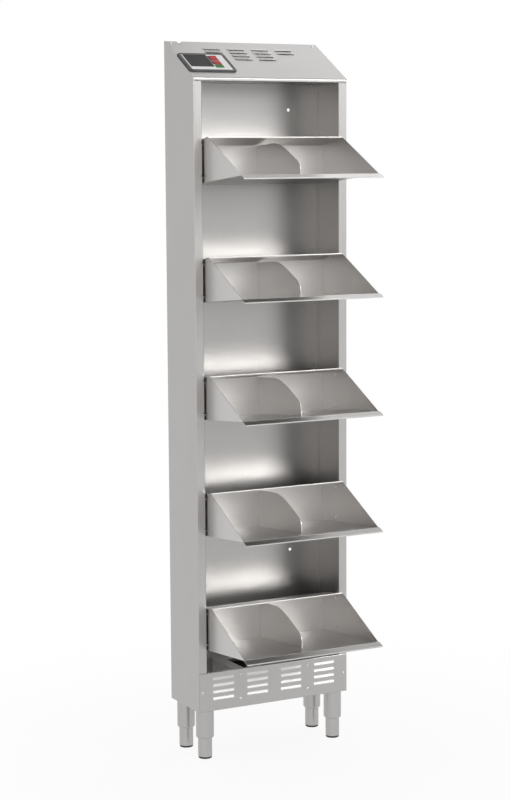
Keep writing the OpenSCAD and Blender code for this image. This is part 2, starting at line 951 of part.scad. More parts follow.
side_panel_left();
side_panel_right();
back_panel();
head_shelf();
top_cover();
cover_screws();
kick_panel();
kick_screws();
fan_tray();
leg_plate_left();
leg_plate_right();
leg_front_left();
leg_front_right();
leg_rear_left();
leg_rear_right();
foot_front_left();
foot_front_right();
foot_rear_left();
foot_rear_right();
pad_front_left();
pad_front_right();
pad_rear_left();
pad_rear_right();
leg_bolts();
bin_pan_1();
bin_ends_1();
bin_divider_1();
bin_pins_1();
bin_pan_2();
bin_ends_2();
bin_divider_2();
bin_pins_2();
bin_pan_3();
bin_ends_3();
bin_divider_3();
bin_pins_3();
bin_pan_4();
bin_ends_4();
bin_divider_4();
bin_pins_4();
bin_pan_5();
bin_ends_5();
bin_divider_5();
bin_pins_5();
control_bezel();
control_face();
display_window();
indicator_window();
timer_key();
stop_key();
start_key();
controller_tub();
control_board();
fan_frame();
fan_rotor();
heater();
thermostat();
terminal_block();
cable_gland();
cable_conduit();
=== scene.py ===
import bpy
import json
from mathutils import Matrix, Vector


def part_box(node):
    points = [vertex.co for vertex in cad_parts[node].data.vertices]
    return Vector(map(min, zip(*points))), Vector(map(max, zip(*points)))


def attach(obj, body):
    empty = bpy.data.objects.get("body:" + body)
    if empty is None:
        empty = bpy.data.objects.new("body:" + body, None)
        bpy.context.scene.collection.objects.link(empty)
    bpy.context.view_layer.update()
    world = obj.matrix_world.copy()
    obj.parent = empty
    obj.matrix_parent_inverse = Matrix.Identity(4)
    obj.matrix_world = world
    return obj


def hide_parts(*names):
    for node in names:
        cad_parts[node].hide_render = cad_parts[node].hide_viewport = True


bl_info = {
    "name": "Shoe dryer dressing",
    "version": (1, 0, 0),
    "blender": (4, 5, 0),
    "location": "3D View > Sidebar > Shoe dryer",
    "description": "Models and finishes the pieces of a stainless shoe dryer around its CAD frame",
    "category": "Object",
}

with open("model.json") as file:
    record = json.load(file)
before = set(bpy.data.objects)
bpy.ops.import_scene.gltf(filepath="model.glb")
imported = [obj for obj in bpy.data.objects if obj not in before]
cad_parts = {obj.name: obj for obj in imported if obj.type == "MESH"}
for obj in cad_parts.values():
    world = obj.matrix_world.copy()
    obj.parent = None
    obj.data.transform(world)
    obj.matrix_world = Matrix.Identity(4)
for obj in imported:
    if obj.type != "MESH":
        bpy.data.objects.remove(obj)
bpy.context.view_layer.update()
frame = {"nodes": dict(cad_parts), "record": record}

import json
import math

import bmesh
import bpy
from mathutils import Matrix, Vector

nodes = frame["nodes"]

# Places are given in millimetres from the cabinet's front plane, as a maker's drawing has them.
CABINET_LOW, CABINET_HIGH = (corner * 1000 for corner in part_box("side_panel_left"))
FRONT = CABINET_LOW.y
HALF_W = -CABINET_LOW.x
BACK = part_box("back_panel")[1].y * 1000 - FRONT
UNDERSIDE = CABINET_LOW.z
FRONT_TOP = 1902
REAR_TOP = CABINET_HIGH.z
SLOPE = math.atan((REAR_TOP - FRONT_TOP) / BACK)
SLOPE_LENGTH = BACK / math.cos(SLOPE)
SHEET = 1.5
BIN_SHEET = 1.2
FLANGE = 26
RETURN = 15
INSIDE = HALF_W - SHEET
OPENING = HALF_W - FLANGE
KICK_TOP = UNDERSIDE + 111
RAIL_LOW = FRONT_TOP - 10
BIN_COUNT = 5
BIN_TOP = 1741
BIN_PITCH = 325.5
PIN_DEPTH = 9
PIN_DROPS = (-20, -109.5)
SLOT_ANGLE = math.radians(30)
SLOT_RADIUS = 3.05

# Room between pieces side by side, and between sheets that lie on each other.
SIDE_GAP = 0.2
FACE_GAP = 0.1
# Rounding of the sheets' cut edges.
EASE = 0.25
# How far cutting tools reach past what they cut, and the size of one that cuts all on one side.
PAST = 5
FAR = 300
# Height that a sheet has to spare before the slope of the head cuts it off.
SPARE = 20
# Where a cut behind the front sheet starts.
BEHIND_FRONT = SHEET + 0.001
SIDES = (-1, 1)

# Screws: places, and the radii of tapped and clear holes.
TAPPED = 2
CLEAR = 2.2
FRONT_SCREW_X = HALF_W - 12
RAIL_SCREW_Z = FRONT_TOP - 6
KICK_END_SCREW_Z = KICK_TOP - 55.5
KICK_SCREW_X = 108
KICK_SCREWS = [(side * x, z) for side in SIDES
               for x, z in ((FRONT_SCREW_X, KICK_END_SCREW_Z), (KICK_SCREW_X, KICK_TOP - 16),
                            (KICK_SCREW_X, KICK_TOP - 86))]
COVER_SCREW_X = HALF_W - 15
COVER_SCREW_UP = SLOPE_LENGTH - 13

# Holes in the back: the four that the wall's screws go through, and the cable gland's.
WALL_HOLES = [(side * (HALF_W - 89), z)
              for side in SIDES for z in (UNDERSIDE + 397, FRONT_TOP - 82)]
WALL_HOLE_RADIUS = 4.5
GLAND_X = -HALF_W + 45
GLAND_Z = REAR_TOP - 47
GLAND_RADIUS = 8.1

# Lengths in metres below which two places in a mesh count as one.
MERGE = 0.000002
NEAR = 0.00001


def mm(x, y, z):
    """A place in millimetres from the front plane, as a point of the frame in metres."""
    return Vector((x, y + FRONT, z)) / 1000


# Local x runs across, y up the slope and z out of the cover.
ON_SLOPE = Matrix.Translation(mm(0, 0, FRONT_TOP)) @ Matrix.Rotation(SLOPE, 4, "X")
# Local x runs to the back, y up and z to the right.
UPRIGHT = Matrix.Translation(mm(0, 0, 0)) @ Matrix(
    ((0, 0, 1, 0), (1, 0, 0, 0), (0, 1, 0, 0), (0, 0, 0, 1)))
# Local x runs across, y up and z out of the front.
FRONTAL = Matrix.Translation(mm(0, 0, 0)) @ Matrix.Rotation(math.pi / 2, 4, "X")


def on_plane(plane, x, y, z=0):
    """A place on one of the planes above, in millimetres."""
    return plane @ Matrix.Translation(Vector((x, y, z)) / 1000)


class DryerFinish(bpy.types.PropertyGroup):
    steel_colour: bpy.props.FloatVectorProperty(
        name="Steel", description="Colour of the satin stainless sheet",
        subtype="COLOR", size=3, min=0, max=1, default=(0.442, 0.431, 0.422))
    bin_colour: bpy.props.FloatVectorProperty(
        name="Bins", description="Colour of the bins' finer stainless sheet",
        subtype="COLOR", size=3, min=0, max=1, default=(0.547, 0.534, 0.523))
    steel_roughness: bpy.props.FloatProperty(
        name="Steel roughness", description="How far the satin sheet blurs what it reflects",
        subtype="FACTOR", min=0.05, max=1, default=0.34)
    grain_depth: bpy.props.FloatProperty(
        name="Grain depth", description="Depth of the brushed grain",
        subtype="DISTANCE", unit="LENGTH", min=0, max=0.001, default=0.00002)


class DryerStage(bpy.types.PropertyGroup):
    floor_colour: bpy.props.FloatVectorProperty(
        name="Floor", description="Colour of the studio floor",
        subtype="COLOR", size=3, min=0, max=1, default=(0.86, 0.86, 0.86))
    room: bpy.props.FloatProperty(
        name="Room", description="Even light that the studio gives from all sides",
        min=0, max=2, default=0.8)
    walls: bpy.props.FloatProperty(
        name="Walls", description="Brightness of the studio's walls as the steel mirrors them",
        min=0, max=2, default=1.0)
    front_lamp: bpy.props.FloatProperty(
        name="Front lamp", description="Power of the soft lamp at the right of the front",
        unit="POWER", min=0, default=3)
    top_lamp: bpy.props.FloatProperty(
        name="Top lamp", description="Power of the soft lamp above the head",
        unit="POWER", min=0, default=2.3)


# Materials

def add_node(tree, kind, inputs=None, **settings):
    node = tree.nodes.new(kind)
    for key, value in settings.items():
        setattr(node, key, value)
    for key, value in (inputs or {}).items():
        node.inputs[key].default_value = value
    return node


# How fine the brushed grain is across and along its scratches, and its clouds.
GRAIN_ACROSS = 900.0
GRAIN_ALONG = 7.0
CLOUD_SCALE = 5.0


def noise(tree, place, scale, detail, roughness=0.5):
    node = add_node(tree, "ShaderNodeTexNoise",
                    {"Scale": scale, "Detail": detail, "Roughness": roughness})
    tree.links.new(place, node.inputs["Vector"])
    return node.outputs["Fac"]


def brushed_grain_group():
    """Long fine scratches along the local Z of Position, and broad soft clouds."""
    group = bpy.data.node_groups.new("brushed_grain", "ShaderNodeTree")
    group.interface.new_socket("Position", in_out="INPUT", socket_type="NodeSocketVector")
    for key in ("Marks", "Cloud"):
        group.interface.new_socket(key, in_out="OUTPUT", socket_type="NodeSocketFloat")
    place = group.nodes.new("NodeGroupInput").outputs["Position"]
    result = group.nodes.new("NodeGroupOutput")
    scaled = add_node(group, "ShaderNodeVectorMath",
                      {1: (GRAIN_ACROSS, GRAIN_ACROSS, GRAIN_ALONG)}, operation="MULTIPLY")
    link = group.links.new
    link(place, scaled.inputs[0])
    link(noise(group, scaled.outputs["Vector"], 1.0, 3.0, 0.6), result.inputs["Marks"])
    link(noise(group, place, CLOUD_SCALE, 3.0), result.inputs["Cloud"])
    return group


def spread(tree, value, low, high):
    """Maps a value from 0.3..0.7, where noise mostly lies, to low..high."""
    node = add_node(tree, "ShaderNodeMapRange",
                    {"From Min": 0.3, "From Max": 0.7, "To Min": low, "To Max": high})
    tree.links.new(value, node.inputs["Value"])
    return node.outputs["Result"]


def blank_material(name):
    material = bpy.data.materials.new(name)
    material.use_nodes = True
    tree = material.node_tree
    return material, tree, tree.nodes["Principled BSDF"]


def object_place(tree, turn=(0, 0, 0)):
    """Object coordinates, turned so that a grain can run another way."""
    coordinates = add_node(tree, "ShaderNodeTexCoord")
    mapping = add_node(tree, "ShaderNodeMapping", {"Rotation": turn})
    tree.links.new(coordinates.outputs["Object"], mapping.inputs["Vector"])
    return mapping.outputs["Vector"]


def combined(tree, operation, first, second):
    """Two values joined by a math operation."""
    node = add_node(tree, "ShaderNodeMath", operation=operation)
    tree.links.new(first, node.inputs[0])
    tree.links.new(second, node.inputs[1])
    return node.outputs["Value"]


def times(colour, factor):
    return tuple(min(1, channel * factor) for channel in colour)


def tint(tree, surface, share, dark, light):
    """Colours a surface between two colours by a share from 0 to 1."""
    mix = add_node(tree, "ShaderNodeMix", {"A": (*dark, 1), "B": (*light, 1)}, data_type="RGBA")
    tree.links.new(share, mix.inputs["Factor"])
    tree.links.new(mix.outputs["Result"], surface.inputs["Base Color"])


def emboss(tree, surface, height, strength, depth):
    """Turns a pattern into bumps of a depth in metres."""
    bump = add_node(tree, "ShaderNodeBump", {"Strength": strength, "Distance": depth})
    tree.links.new(height, bump.inputs["Height"])
    tree.links.new(bump.outputs["Normal"], surface.inputs["Normal"])


# How far the grain changes the steel's roughness, either way.
GRAIN_STEP = 0.02


def steel(name, grain, colour, roughness, depth, turn=(0, 0, 0)):
    """Brushed steel whose grain runs along Z, or another way with a turn."""
    material, tree, surface = blank_material(name)
    pattern = add_node(tree, "ShaderNodeGroup", node_tree=grain)
    tree.links.new(object_place(tree, turn), pattern.inputs["Position"])
    marks = pattern.outputs["Marks"]
    surface.inputs["Metallic"].default_value = 1.0
    tint(tree, surface, spread(tree, marks, 0, 1), times(colour, 0.965), times(colour, 1.03))
    rough = combined(tree, "ADD",
                     spread(tree, marks, roughness - GRAIN_STEP, roughness + GRAIN_STEP),
                     spread(tree, pattern.outputs["Cloud"], -GRAIN_STEP, GRAIN_STEP))
    tree.links.new(rough, surface.inputs["Roughness"])
    emboss(tree, surface, marks, 0.6, depth)
    return material


# How far the clouds change the roughness of plastic and rubber, and the depth of their skin.
SKIN_STEP = 0.04
SKIN_DEPTH = 0.00002


def moulded(name, colour, roughness, shine=0.5):
    """Moulded plastic or rubber: a fine pebbled skin with a slightly uneven colour."""
    material, tree, surface = blank_material(name)
    place = object_place(tree)
    cloud = noise(tree, place, 30.0, 3.0)
    tint(tree, surface, spread(tree, cloud, 0, 1), times(colour, 0.93), times(colour, 1.05))
    tree.links.new(spread(tree, cloud, roughness - SKIN_STEP, roughness + SKIN_STEP),
                   surface.inputs["Roughness"])
    emboss(tree, surface, noise(tree, place, 2500.0, 2.0), 0.5, SKIN_DEPTH)
    surface.inputs["Specular IOR Level"].default_value = shine
    return material


def zinc_sheet():
    """Galvanised sheet: pale and matt, with the broad flakes of its zinc."""
    material, tree, surface = blank_material("zinc_sheet")
    place = object_place(tree)
    flakes = add_node(tree, "ShaderNodeTexVoronoi", {"Scale": 70.0})
    tree.links.new(place, flakes.inputs["Vector"])
    tint(tree, surface, flakes.outputs["Distance"], (0.82, 0.82, 0.81), (0.92, 0.92, 0.91))
    surface.inputs["Metallic"].default_value = 0.1
    tree.links.new(spread(tree, noise(tree, place, 12.0, 3.0), 0.42, 0.52),
                   surface.inputs["Roughness"])
    return material


SIDEWAYS = (0, math.pi / 2, 0)
# CAD nodes whose finish differs from their slot's own.
OWN_FINISH = dict.fromkeys(("fan_tray", "leg_plate_left", "leg_plate_right"), "zinc_sheet")
# Each plastic or rubber finish: its colour, roughness and shine.
MOULDED = {
    "black_rubber": ((0.03, 0.03, 0.03), 0.7, 0.5),
    "dark_plastic": ((0.07, 0.07, 0.074), 0.5, 0.35),
    "white_plastic": ((0.78, 0.78, 0.77), 0.45, 0.35),
    "display_black": ((0.014, 0.014, 0.015), 0.35, 0.1),
    # Dark red of the strip beside the red keys: painted shade for the keys' left sides.
    "dark_red_lens": ((0.11, 0.006, 0.012), 0.35, 0.1),
    "red_key": ((0.42, 0.016, 0.022), 0.4, 0.15),
    "green_key": ((0.028, 0.17, 0.02), 0.4, 0.15),
    "board_green": ((0.02, 0.12, 0.05), 0.4, 0.5),
    "black_plastic": ((0.02, 0.02, 0.02), 0.5, 0.5),
    "black_heater": ((0.015, 0.015, 0.015), 0.55, 0.5),
    "ivory_plastic": ((0.75, 0.73, 0.64), 0.45, 0.5),
    "grey_plastic": ((0.45, 0.45, 0.44), 0.45, 0.5),
}
materials = {}


def make_materials(finish):
    """Makes every finish once, under the name of its material slot."""
    grain = brushed_grain_group()
    sheet = tuple(finish.steel_colour)
    bins = tuple(finish.bin_colour)
    rough = finish.steel_roughness
    depth = finish.grain_depth
    for name, look in MOULDED.items():
        materials[name] = moulded(name, *look)
    for name, *look in (("satin_steel", sheet, rough, depth),
                        ("bin_steel", bins, rough, depth, SIDEWAYS),
                        ("bright_steel", (0.62, 0.62, 0.61), 0.26, depth),
                        ("aluminium_can", (0.75, 0.75, 0.76), 0.35, depth)):
        materials[name] = steel(name, grain, *look)
    materials["zinc_sheet"] = zinc_sheet()


def dress(piece, slot):
    """Gives a piece or a CAD node one finish all over."""
    piece.data.materials.clear()
    piece.data.materials.append(materials[slot])


# Modelling

def deselect():
    bpy.ops.object.select_all(action="DESELECT")


def only(piece):
    """Selects one piece and nothing else, and makes it active."""
    deselect()
    piece.select_set(True)
    bpy.context.view_layer.objects.active = piece


def settle(piece):
    """Puts the piece's place and turn into its mesh, so that its origin is the frame's."""
    only(piece)
    bpy.ops.object.transform_apply(location=True, rotation=True, scale=True)
    return piece


def added(name):
    """Names the object that an operator has just made."""
    piece = bpy.context.object
    piece.name = name
    piece.data.name = name
    return piece


def pick(piece, kind, test):
    """In edit mode, selects the verts, edges or faces that pass a test, and nothing else."""
    bpy.ops.mesh.select_mode(type={"verts": "VERT", "edges": "EDGE", "faces": "FACE"}[kind])
    bpy.ops.mesh.select_all(action="DESELECT")
    mesh = bmesh.from_edit_mesh(piece.data)
    for item in getattr(mesh, kind):
        if test(item):
            item.select_set(True)
    mesh.select_flush_mode()
    bmesh.update_edit_mesh(piece.data)


def facing_out(piece):
    """Merges what meets and turns the faces of a closed solid outwards."""
    only(piece)
    bpy.ops.object.mode_set(mode="EDIT")
    bpy.ops.mesh.select_all(action="SELECT")
    bpy.ops.mesh.remove_doubles(threshold=MERGE)
    bpy.ops.mesh.normals_make_consistent(inside=False)
    bpy.ops.object.mode_set(mode="OBJECT")
    return piece


def joined(pieces):
    """Joins pieces into the first one, whose name stays."""
    only(pieces[0])
    for piece in pieces[1:]:
        piece.select_set(True)
    if len(pieces) > 1:
        bpy.ops.object.join()
    return pieces[0]


def copied(piece, name, move=(0, 0, 0)):
    """A copy with a mesh of its own, moved by millimetres."""
    only(piece)
    bpy.ops.object.duplicate()
    twin = added(name)
    twin.location = Vector(move) / 1000
    return settle(twin)


def mirrored(piece, name):
    """A copy for the cabinet's other side."""
    twin = copied(piece, name)
    twin.scale.x = -1
    return facing_out(settle(twin))


def block(low, high):
    """A cutting tool from corner to corner, in millimetres from the front plane."""
    low, high = mm(*low), mm(*high)
    bpy.ops.mesh.primitive_cube_add(size=1, location=(low + high) / 2)
    tool = added("tool")
    tool.scale = high - low
    return settle(tool)


def rod(start, end, radius, sides=32):
    """A round cutting tool between two places."""
    start, end = mm(*start), mm(*end)
    axis = end - start
    bpy.ops.mesh.primitive_cylinder_add(
        vertices=sides, radius=radius / 1000, depth=axis.length, location=(start + end) / 2,
        rotation=axis.to_track_quat("Z", "Y").to_euler())
    return settle(added("tool"))


def placed(piece, place):
    """Moves a piece or tool built from the front plane's origin to another plane."""
    piece.matrix_world = place @ Matrix.Translation(-mm(0, 0, 0))
    return settle(piece)


def modified(piece, kind, **settings):
    """Applies one modifier with its settings to a piece."""
    only(piece)
    modifier = piece.modifiers.new(kind, kind)
    for key, value in settings.items():
        setattr(modifier, key, value)
    bpy.ops.object.modifier_apply(modifier=kind)
    return piece


def cut(piece, tools):
    """Cuts tools that don't touch each other out of a closed piece."""
    tool = joined(tools)
    modified(piece, "BOOLEAN", operation="DIFFERENCE", solver="EXACT", object=tool)
    bpy.data.objects.remove(tool)
    return piece


def smoothed(piece, angle=35):
    """Shades a piece smooth, but for the edges sharper than an angle in degrees."""
    only(piece)
    bpy.ops.object.shade_smooth_by_angle(angle=math.radians(angle))
    return modified(piece, "WEIGHTED_NORMAL", keep_sharp=True)


def eased(piece, width, segments=2):
    """Rounds the sharp edges by a width in millimetres, and smooths the shading."""
    modified(piece, "BEVEL", width=width / 1000, segments=segments, limit_method="ANGLE",
             angle_limit=math.radians(40))
    return smoothed(piece)


def thickened(piece, thickness):
    """Gives a sheet its thickness, on the side that its faces look to."""
    return modified(piece, "SOLIDIFY", thickness=thickness / 1000, offset=1, use_even_offset=True)


def folded_sheet(name, path, low, high, axis, thickness, radius):
    """A sheet folded along a path, drawn out along X or Z, that grows to the path's right.

    The radius is that of the path's own bends, and 0 leaves them sharp. A bend that the sheet grows
    into needs at least the sheet's thickness.
    """
    def spot(point, run=0.0):
        return mm(run, *point) if axis == "X" else mm(*point, run)

    def on_fold(place, point):
        gap = place - spot(point)
        setattr(gap, axis.lower(), 0)
        return gap.length < MERGE

    start, end = spot(path[0], low), spot(path[1], low)
    along = (spot(path[0], high) - start) / 2
    across = (end - start) / 2
    centre = start + along + across
    deselect()
    bpy.ops.mesh.primitive_plane_add(size=2)
    sheet = added(name)
    turn = Matrix((along, across, along.cross(across).normalized())).transposed().to_4x4()
    sheet.matrix_world = Matrix.Translation(centre) @ turn
    settle(sheet)
    bpy.ops.object.mode_set(mode="EDIT")
    for before, after in zip(path[1:], path[2:]):
        pick(sheet, "verts", lambda v: on_fold(v.co, before))
        bpy.ops.mesh.extrude_region_move(
            TRANSFORM_OT_translate={"value": spot(after) - spot(before)})
    if radius:
        pick(sheet, "edges", lambda e: any(
            all(on_fold(v.co, point) for v in e.verts) for point in path[1:-1]))
        bpy.ops.mesh.bevel(offset=radius / 1000, segments=4, affect="EDGES")
    step = Vector(path[1]) - Vector(path[0])
    right = spot((step.y, -step.x)) - spot((0, 0))
    mesh = bmesh.from_edit_mesh(sheet.data)
    nearest = min(mesh.faces, key=lambda f: (f.calc_center_median() - centre).length)
    turned_away = nearest.normal.dot(right) < 0
    bpy.ops.mesh.select_all(action="SELECT")
    if turned_away:
        bpy.ops.mesh.flip_normals()
    bpy.ops.object.mode_set(mode="OBJECT")
    return thickened(sheet, thickness)


def plate(name, outlines, low, high, place):
    """A flat plate from height low to high: its outline, then those of its holes."""
    deselect()
    bpy.ops.curve.primitive_bezier_curve_add()
    curve = bpy.context.object
    curve.data.splines.clear()
    curve.data.dimensions = "2D"
    curve.data.fill_mode = "BOTH"
    curve.data.extrude = (high - low) / 2000
    for outline in outlines:
        spline = curve.data.splines.new("POLY")
        spline.points.add(len(outline) - 1)
        for point, (x, y) in zip(spline.points, outline):
            point.co = (x / 1000, y / 1000, 0, 1)
        spline.use_cyclic_u = True
    only(curve)
    bpy.ops.object.convert(target="MESH")
    piece = added(name)
    facing_out(piece)
    bpy.ops.object.mode_set(mode="EDIT")
    bpy.ops.mesh.select_all(action="SELECT")
    bpy.ops.mesh.dissolve_limited(angle_limit=math.radians(0.5))
    bpy.ops.object.mode_set(mode="OBJECT")
    piece.matrix_world = place @ Matrix.Translation((0, 0, (low + high) / 2000))
    return settle(piece)


def rounded_outline(centre, size, radius, steps=8):
    """The outline of a rectangle with rounded corners."""
    points = []
    for corner, (sx, sy) in enumerate(((1, 1), (-1, 1), (-1, -1), (1, -1))):
        for step in range(steps + 1):
            angle = math.pi / 2 * (corner + step / steps)
            points.append((centre[0] + sx * (size[0] / 2 - radius) + radius * math.cos(angle),
                           centre[1] + sy * (size[1] / 2 - radius) + radius * math.sin(angle)))
    return points


def round_outline(centre, radius, steps=32):
    """The outline of a circle."""
    return [(centre[0] + radius * math.cos(math.tau * i / steps),
             centre[1] + radius * math.sin(math.tau * i / steps)) for i in range(steps)]


def turned(name, profile, x, y, sides=64):
    """A solid turned about an upright axis, whose profile gives radius and height."""
    radius, height = profile[0]
    deselect()
    bpy.ops.mesh.primitive_circle_add(
        vertices=sides, radius=radius / 1000, fill_type="NGON", location=mm(x, y, height))
    piece = settle(added(name))
    bpy.ops.object.mode_set(mode="EDIT")
    bpy.ops.mesh.select_all(action="SELECT")
    for wide, high in profile[1:]:
        bpy.ops.mesh.extrude_region_move(
            TRANSFORM_OT_translate={"value": (0, 0, (high - height) / 1000)})
        bpy.ops.transform.resize(value=(wide / radius, wide / radius, 1),
                                 center_override=mm(x, y, high))
        radius, height = wide, high
    bpy.ops.object.mode_set(mode="OBJECT")
    return facing_out(piece)


def fit(piece, slot, body, *replaced):
    """Finishes a piece, puts it on its body and takes the CAD nodes' place with it."""
    dress(piece, slot)
    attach(piece, body)
    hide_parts(*replaced)


HOOD_SHEET = 0.9
HOOD_STEPS = 6
# How much a hood swells below its ramp, how much it narrows at its ends, and how far it sinks in.
HOOD_SWELL = 0.03
HOOD_TAPER = 0.15
HOOD_SINK = 0.02


def pressed_hood(length, width, height, end):
    """One pressed louvre: a ramp that rises to its mouth along y = 0, and dies away at its ends."""
    deselect()
    bpy.ops.mesh.primitive_grid_add(x_subdivisions=2 * HOOD_STEPS, y_subdivisions=HOOD_STEPS,
                                    size=1, location=(0, width / 2000, 0))
    hood = added("hood")
    hood.scale = (2 * end / 1000, width / 1000, 1)
    settle(hood)
    shares = [step / HOOD_STEPS for step in range(HOOD_STEPS + 1)]
    bpy.ops.object.mode_set(mode="EDIT")
    for share in shares:
        rise = 1 - share + HOOD_SWELL * math.sin(math.tau * share)
        pick(hood, "verts", lambda v: abs(v.co.y - share * width / 1000) < NEAR)
        bpy.ops.transform.translate(value=(0, 0, height * rise / 1000))
    for share in shares:
        narrow = 1 - HOOD_TAPER * share ** 3
        fade = (1 + math.cos(math.pi * share)) / 2
        pick(hood, "verts", lambda v: abs(abs(v.co.x) - share * end / 1000) < NEAR)
        bpy.ops.transform.resize(value=(1, narrow, fade), center_override=(0, 0, 0))
    for side in SIDES:
        pick(hood, "verts", lambda v: v.co.x * side > NEAR)
        bpy.ops.transform.translate(value=(side * (length / 2 - end) / 1000, 0, 0))
    bpy.ops.object.mode_set(mode="OBJECT")
    return smoothed(thickened(hood, -HOOD_SHEET), 50)


def press_louvres(sheet, plane, places, *shape):
    """Joins a pressed hood to a flat sheet at each place on its plane."""
    hood = pressed_hood(*shape)
    hoods = []
    for x, y in places:
        twin = copied(hood, "hood_copy")
        twin.matrix_world = on_plane(plane, x, y, -HOOD_SINK)
        hoods.append(settle(twin))
    bpy.data.objects.remove(hood)
    return joined([sheet, *hoods])


# Stage

def aim(piece, target):
    direction = Vector(target) - piece.location
    piece.rotation_euler = direction.to_track_quat("-Z", "Y").to_euler()


def soft_lamp(name, place, target, size, power):
    """A square area lamp that looks from a place to a target."""
    bpy.ops.object.light_add(type="AREA", location=place)
    lamp = bpy.context.object
    lamp.name = name
    lamp.data.shape = "SQUARE"
    lamp.data.size = size
    lamp.data.energy = power
    aim(lamp, target)


# Brightness of the studio's walls as the steel mirrors them: height of the direction, then
# strength. White paper is 1.
BRIGHTEST = 16.0
FRONT_RIGHT_WALL = ((0.0, 0.6), (0.12, 1.4), (0.3, 2.6), (0.5, 2.4), (0.7, 0.8), (1.0, 0.4))
FRONT_LEFT_WALL = ((0.0, 1.6), (0.12, 1.5), (0.3, 2.1), (0.5, 2.8), (0.75, 1.6), (1.0, 0.4))
REAR_WALL = ((0.0, 1.0), (0.3, 0.9), (0.6, 0.95), (0.8, 0.5), (1.0, 0.4))
# A compact soft box on the front right wall, whose mirror image gives the bays their bright spots.
SOFTBOX = ((0.0, 0.0), (0.33, 0.0), (0.44, 13.5), (0.52, 13.5), (0.61, 0.0), (1.0, 0.0))
SOFTBOX_SIDE = (math.sin(math.radians(31)), -math.cos(math.radians(31)), 0)
# Where one wall gives way to the next, and the soft box to its wall, as cosines of an angle.
LEFT_TO_RIGHT = (-0.4, 0.4)
REAR_TO_FRONT = (-0.1, 0.5)
SOFTBOX_EDGE = (0.9, 0.98)
WHITE = (1, 1, 1, 1)


def eased_range(tree, value, span, result=(0.0, 1.0)):
    """Maps a span of values to a result's span, soft at both ends."""
    node = add_node(tree, "ShaderNodeMapRange",
                    {"From Min": span[0], "From Max": span[1],
                     "To Min": result[0], "To Max": result[1]}, interpolation_type="SMOOTHSTEP")
    tree.links.new(value, node.inputs["Value"])
    return node.outputs["Result"]


def wall(tree, height, stops):
    """The brightness of one wall at a height."""
    ramp = add_node(tree, "ShaderNodeValToRGB")
    points = ramp.color_ramp.elements
    while len(points) < len(stops):
        points.new(0.5)
    for point, (place, strength) in zip(points, stops):
        point.position = place
        point.color = (*[strength / BRIGHTEST] * 3, 1)
    tree.links.new(height, ramp.inputs["Fac"])
    return ramp.outputs["Color"]


def towards(tree, flat, direction, span):
    """0 to 1 as a level direction turns towards another one."""
    facing = add_node(tree, "ShaderNodeVectorMath", {1: direction}, operation="DOT_PRODUCT")
    tree.links.new(flat, facing.inputs[0])
    return eased_range(tree, facing.outputs["Value"], span)


def mixed_walls(tree, share, first, second):
    mix = add_node(tree, "ShaderNodeMix", data_type="RGBA")
    for key, value in (("Factor", share), ("A", first), ("B", second)):
        tree.links.new(value, mix.inputs[key])
    return mix.outputs["Result"]


def mixed_shaders(tree, share, first, second):
    mix = add_node(tree, "ShaderNodeMixShader")
    for key, value in enumerate((share, first, second)):
        tree.links.new(value, mix.inputs[key])
    return mix.outputs["Shader"]


def wall_light(tree):
    """The colour of the studio in every direction: three walls and the soft box."""
    link = tree.links.new
    direction = add_node(tree, "ShaderNodeTexCoord").outputs["Generated"]
    parts = add_node(tree, "ShaderNodeSeparateXYZ")
    link(direction, parts.inputs["Vector"])
    height = parts.outputs["Z"]
    level = add_node(tree, "ShaderNodeVectorMath", {1: (1, 1, 0)}, operation="MULTIPLY")
    link(direction, level.inputs[0])
    unit = add_node(tree, "ShaderNodeVectorMath", operation="NORMALIZE")
    link(level.outputs["Vector"], unit.inputs[0])
    flat = unit.outputs["Vector"]
    front = mixed_walls(tree, towards(tree, flat, (1, 0, 0), LEFT_TO_RIGHT),
                        wall(tree, height, FRONT_LEFT_WALL), wall(tree, height, FRONT_RIGHT_WALL))
    around = mixed_walls(tree, towards(tree, flat, (0, -1, 0), REAR_TO_FRONT),
                         wall(tree, height, REAR_WALL), front)
    softbox = add_node(tree, "ShaderNodeVectorMath", operation="SCALE")
    link(wall(tree, height, SOFTBOX), softbox.inputs["Vector"])
    link(towards(tree, flat, SOFTBOX_SIDE, SOFTBOX_EDGE), softbox.inputs["Scale"])
    lit = add_node(tree, "ShaderNodeVectorMath", operation="ADD")
    link(around, lit.inputs[0])
    link(softbox.outputs["Vector"], lit.inputs[1])
    return lit.outputs["Vector"]


def studio_world(stage):
    """White where the camera looks past the dryer, walls that the steel mirrors, and even light."""
    world = bpy.data.worlds.new("studio")
    bpy.context.scene.world = world
    world.use_nodes = True
    tree = world.node_tree
    tree.nodes.clear()
    walls = add_node(tree, "ShaderNodeBackground", {"Strength": stage.walls * BRIGHTEST})
    tree.links.new(wall_light(tree), walls.inputs["Color"])
    room = add_node(tree, "ShaderNodeBackground", {"Color": WHITE, "Strength": stage.room})
    white = add_node(tree, "ShaderNodeBackground", {"Color": WHITE, "Strength": 1.0})
    ray = add_node(tree, "ShaderNodeLightPath").outputs
    lit = mixed_shaders(tree, ray["Is Glossy Ray"], room.outputs["Background"],
                        walls.outputs["Background"])
    seen = combined(tree, "MAXIMUM", ray["Is Camera Ray"], ray["Is Transmission Ray"])
    result = add_node(tree, "ShaderNodeOutputWorld")
    tree.links.new(mixed_shaders(tree, seen, lit, white.outputs["Background"]),
                   result.inputs["Surface"])


# The floor's fade to plain white: distances from the dryer in metres, and the shares of white.
FADE_SPAN = (0.3, 1.6)
FADE_SHARES = (0.9, 1.0)


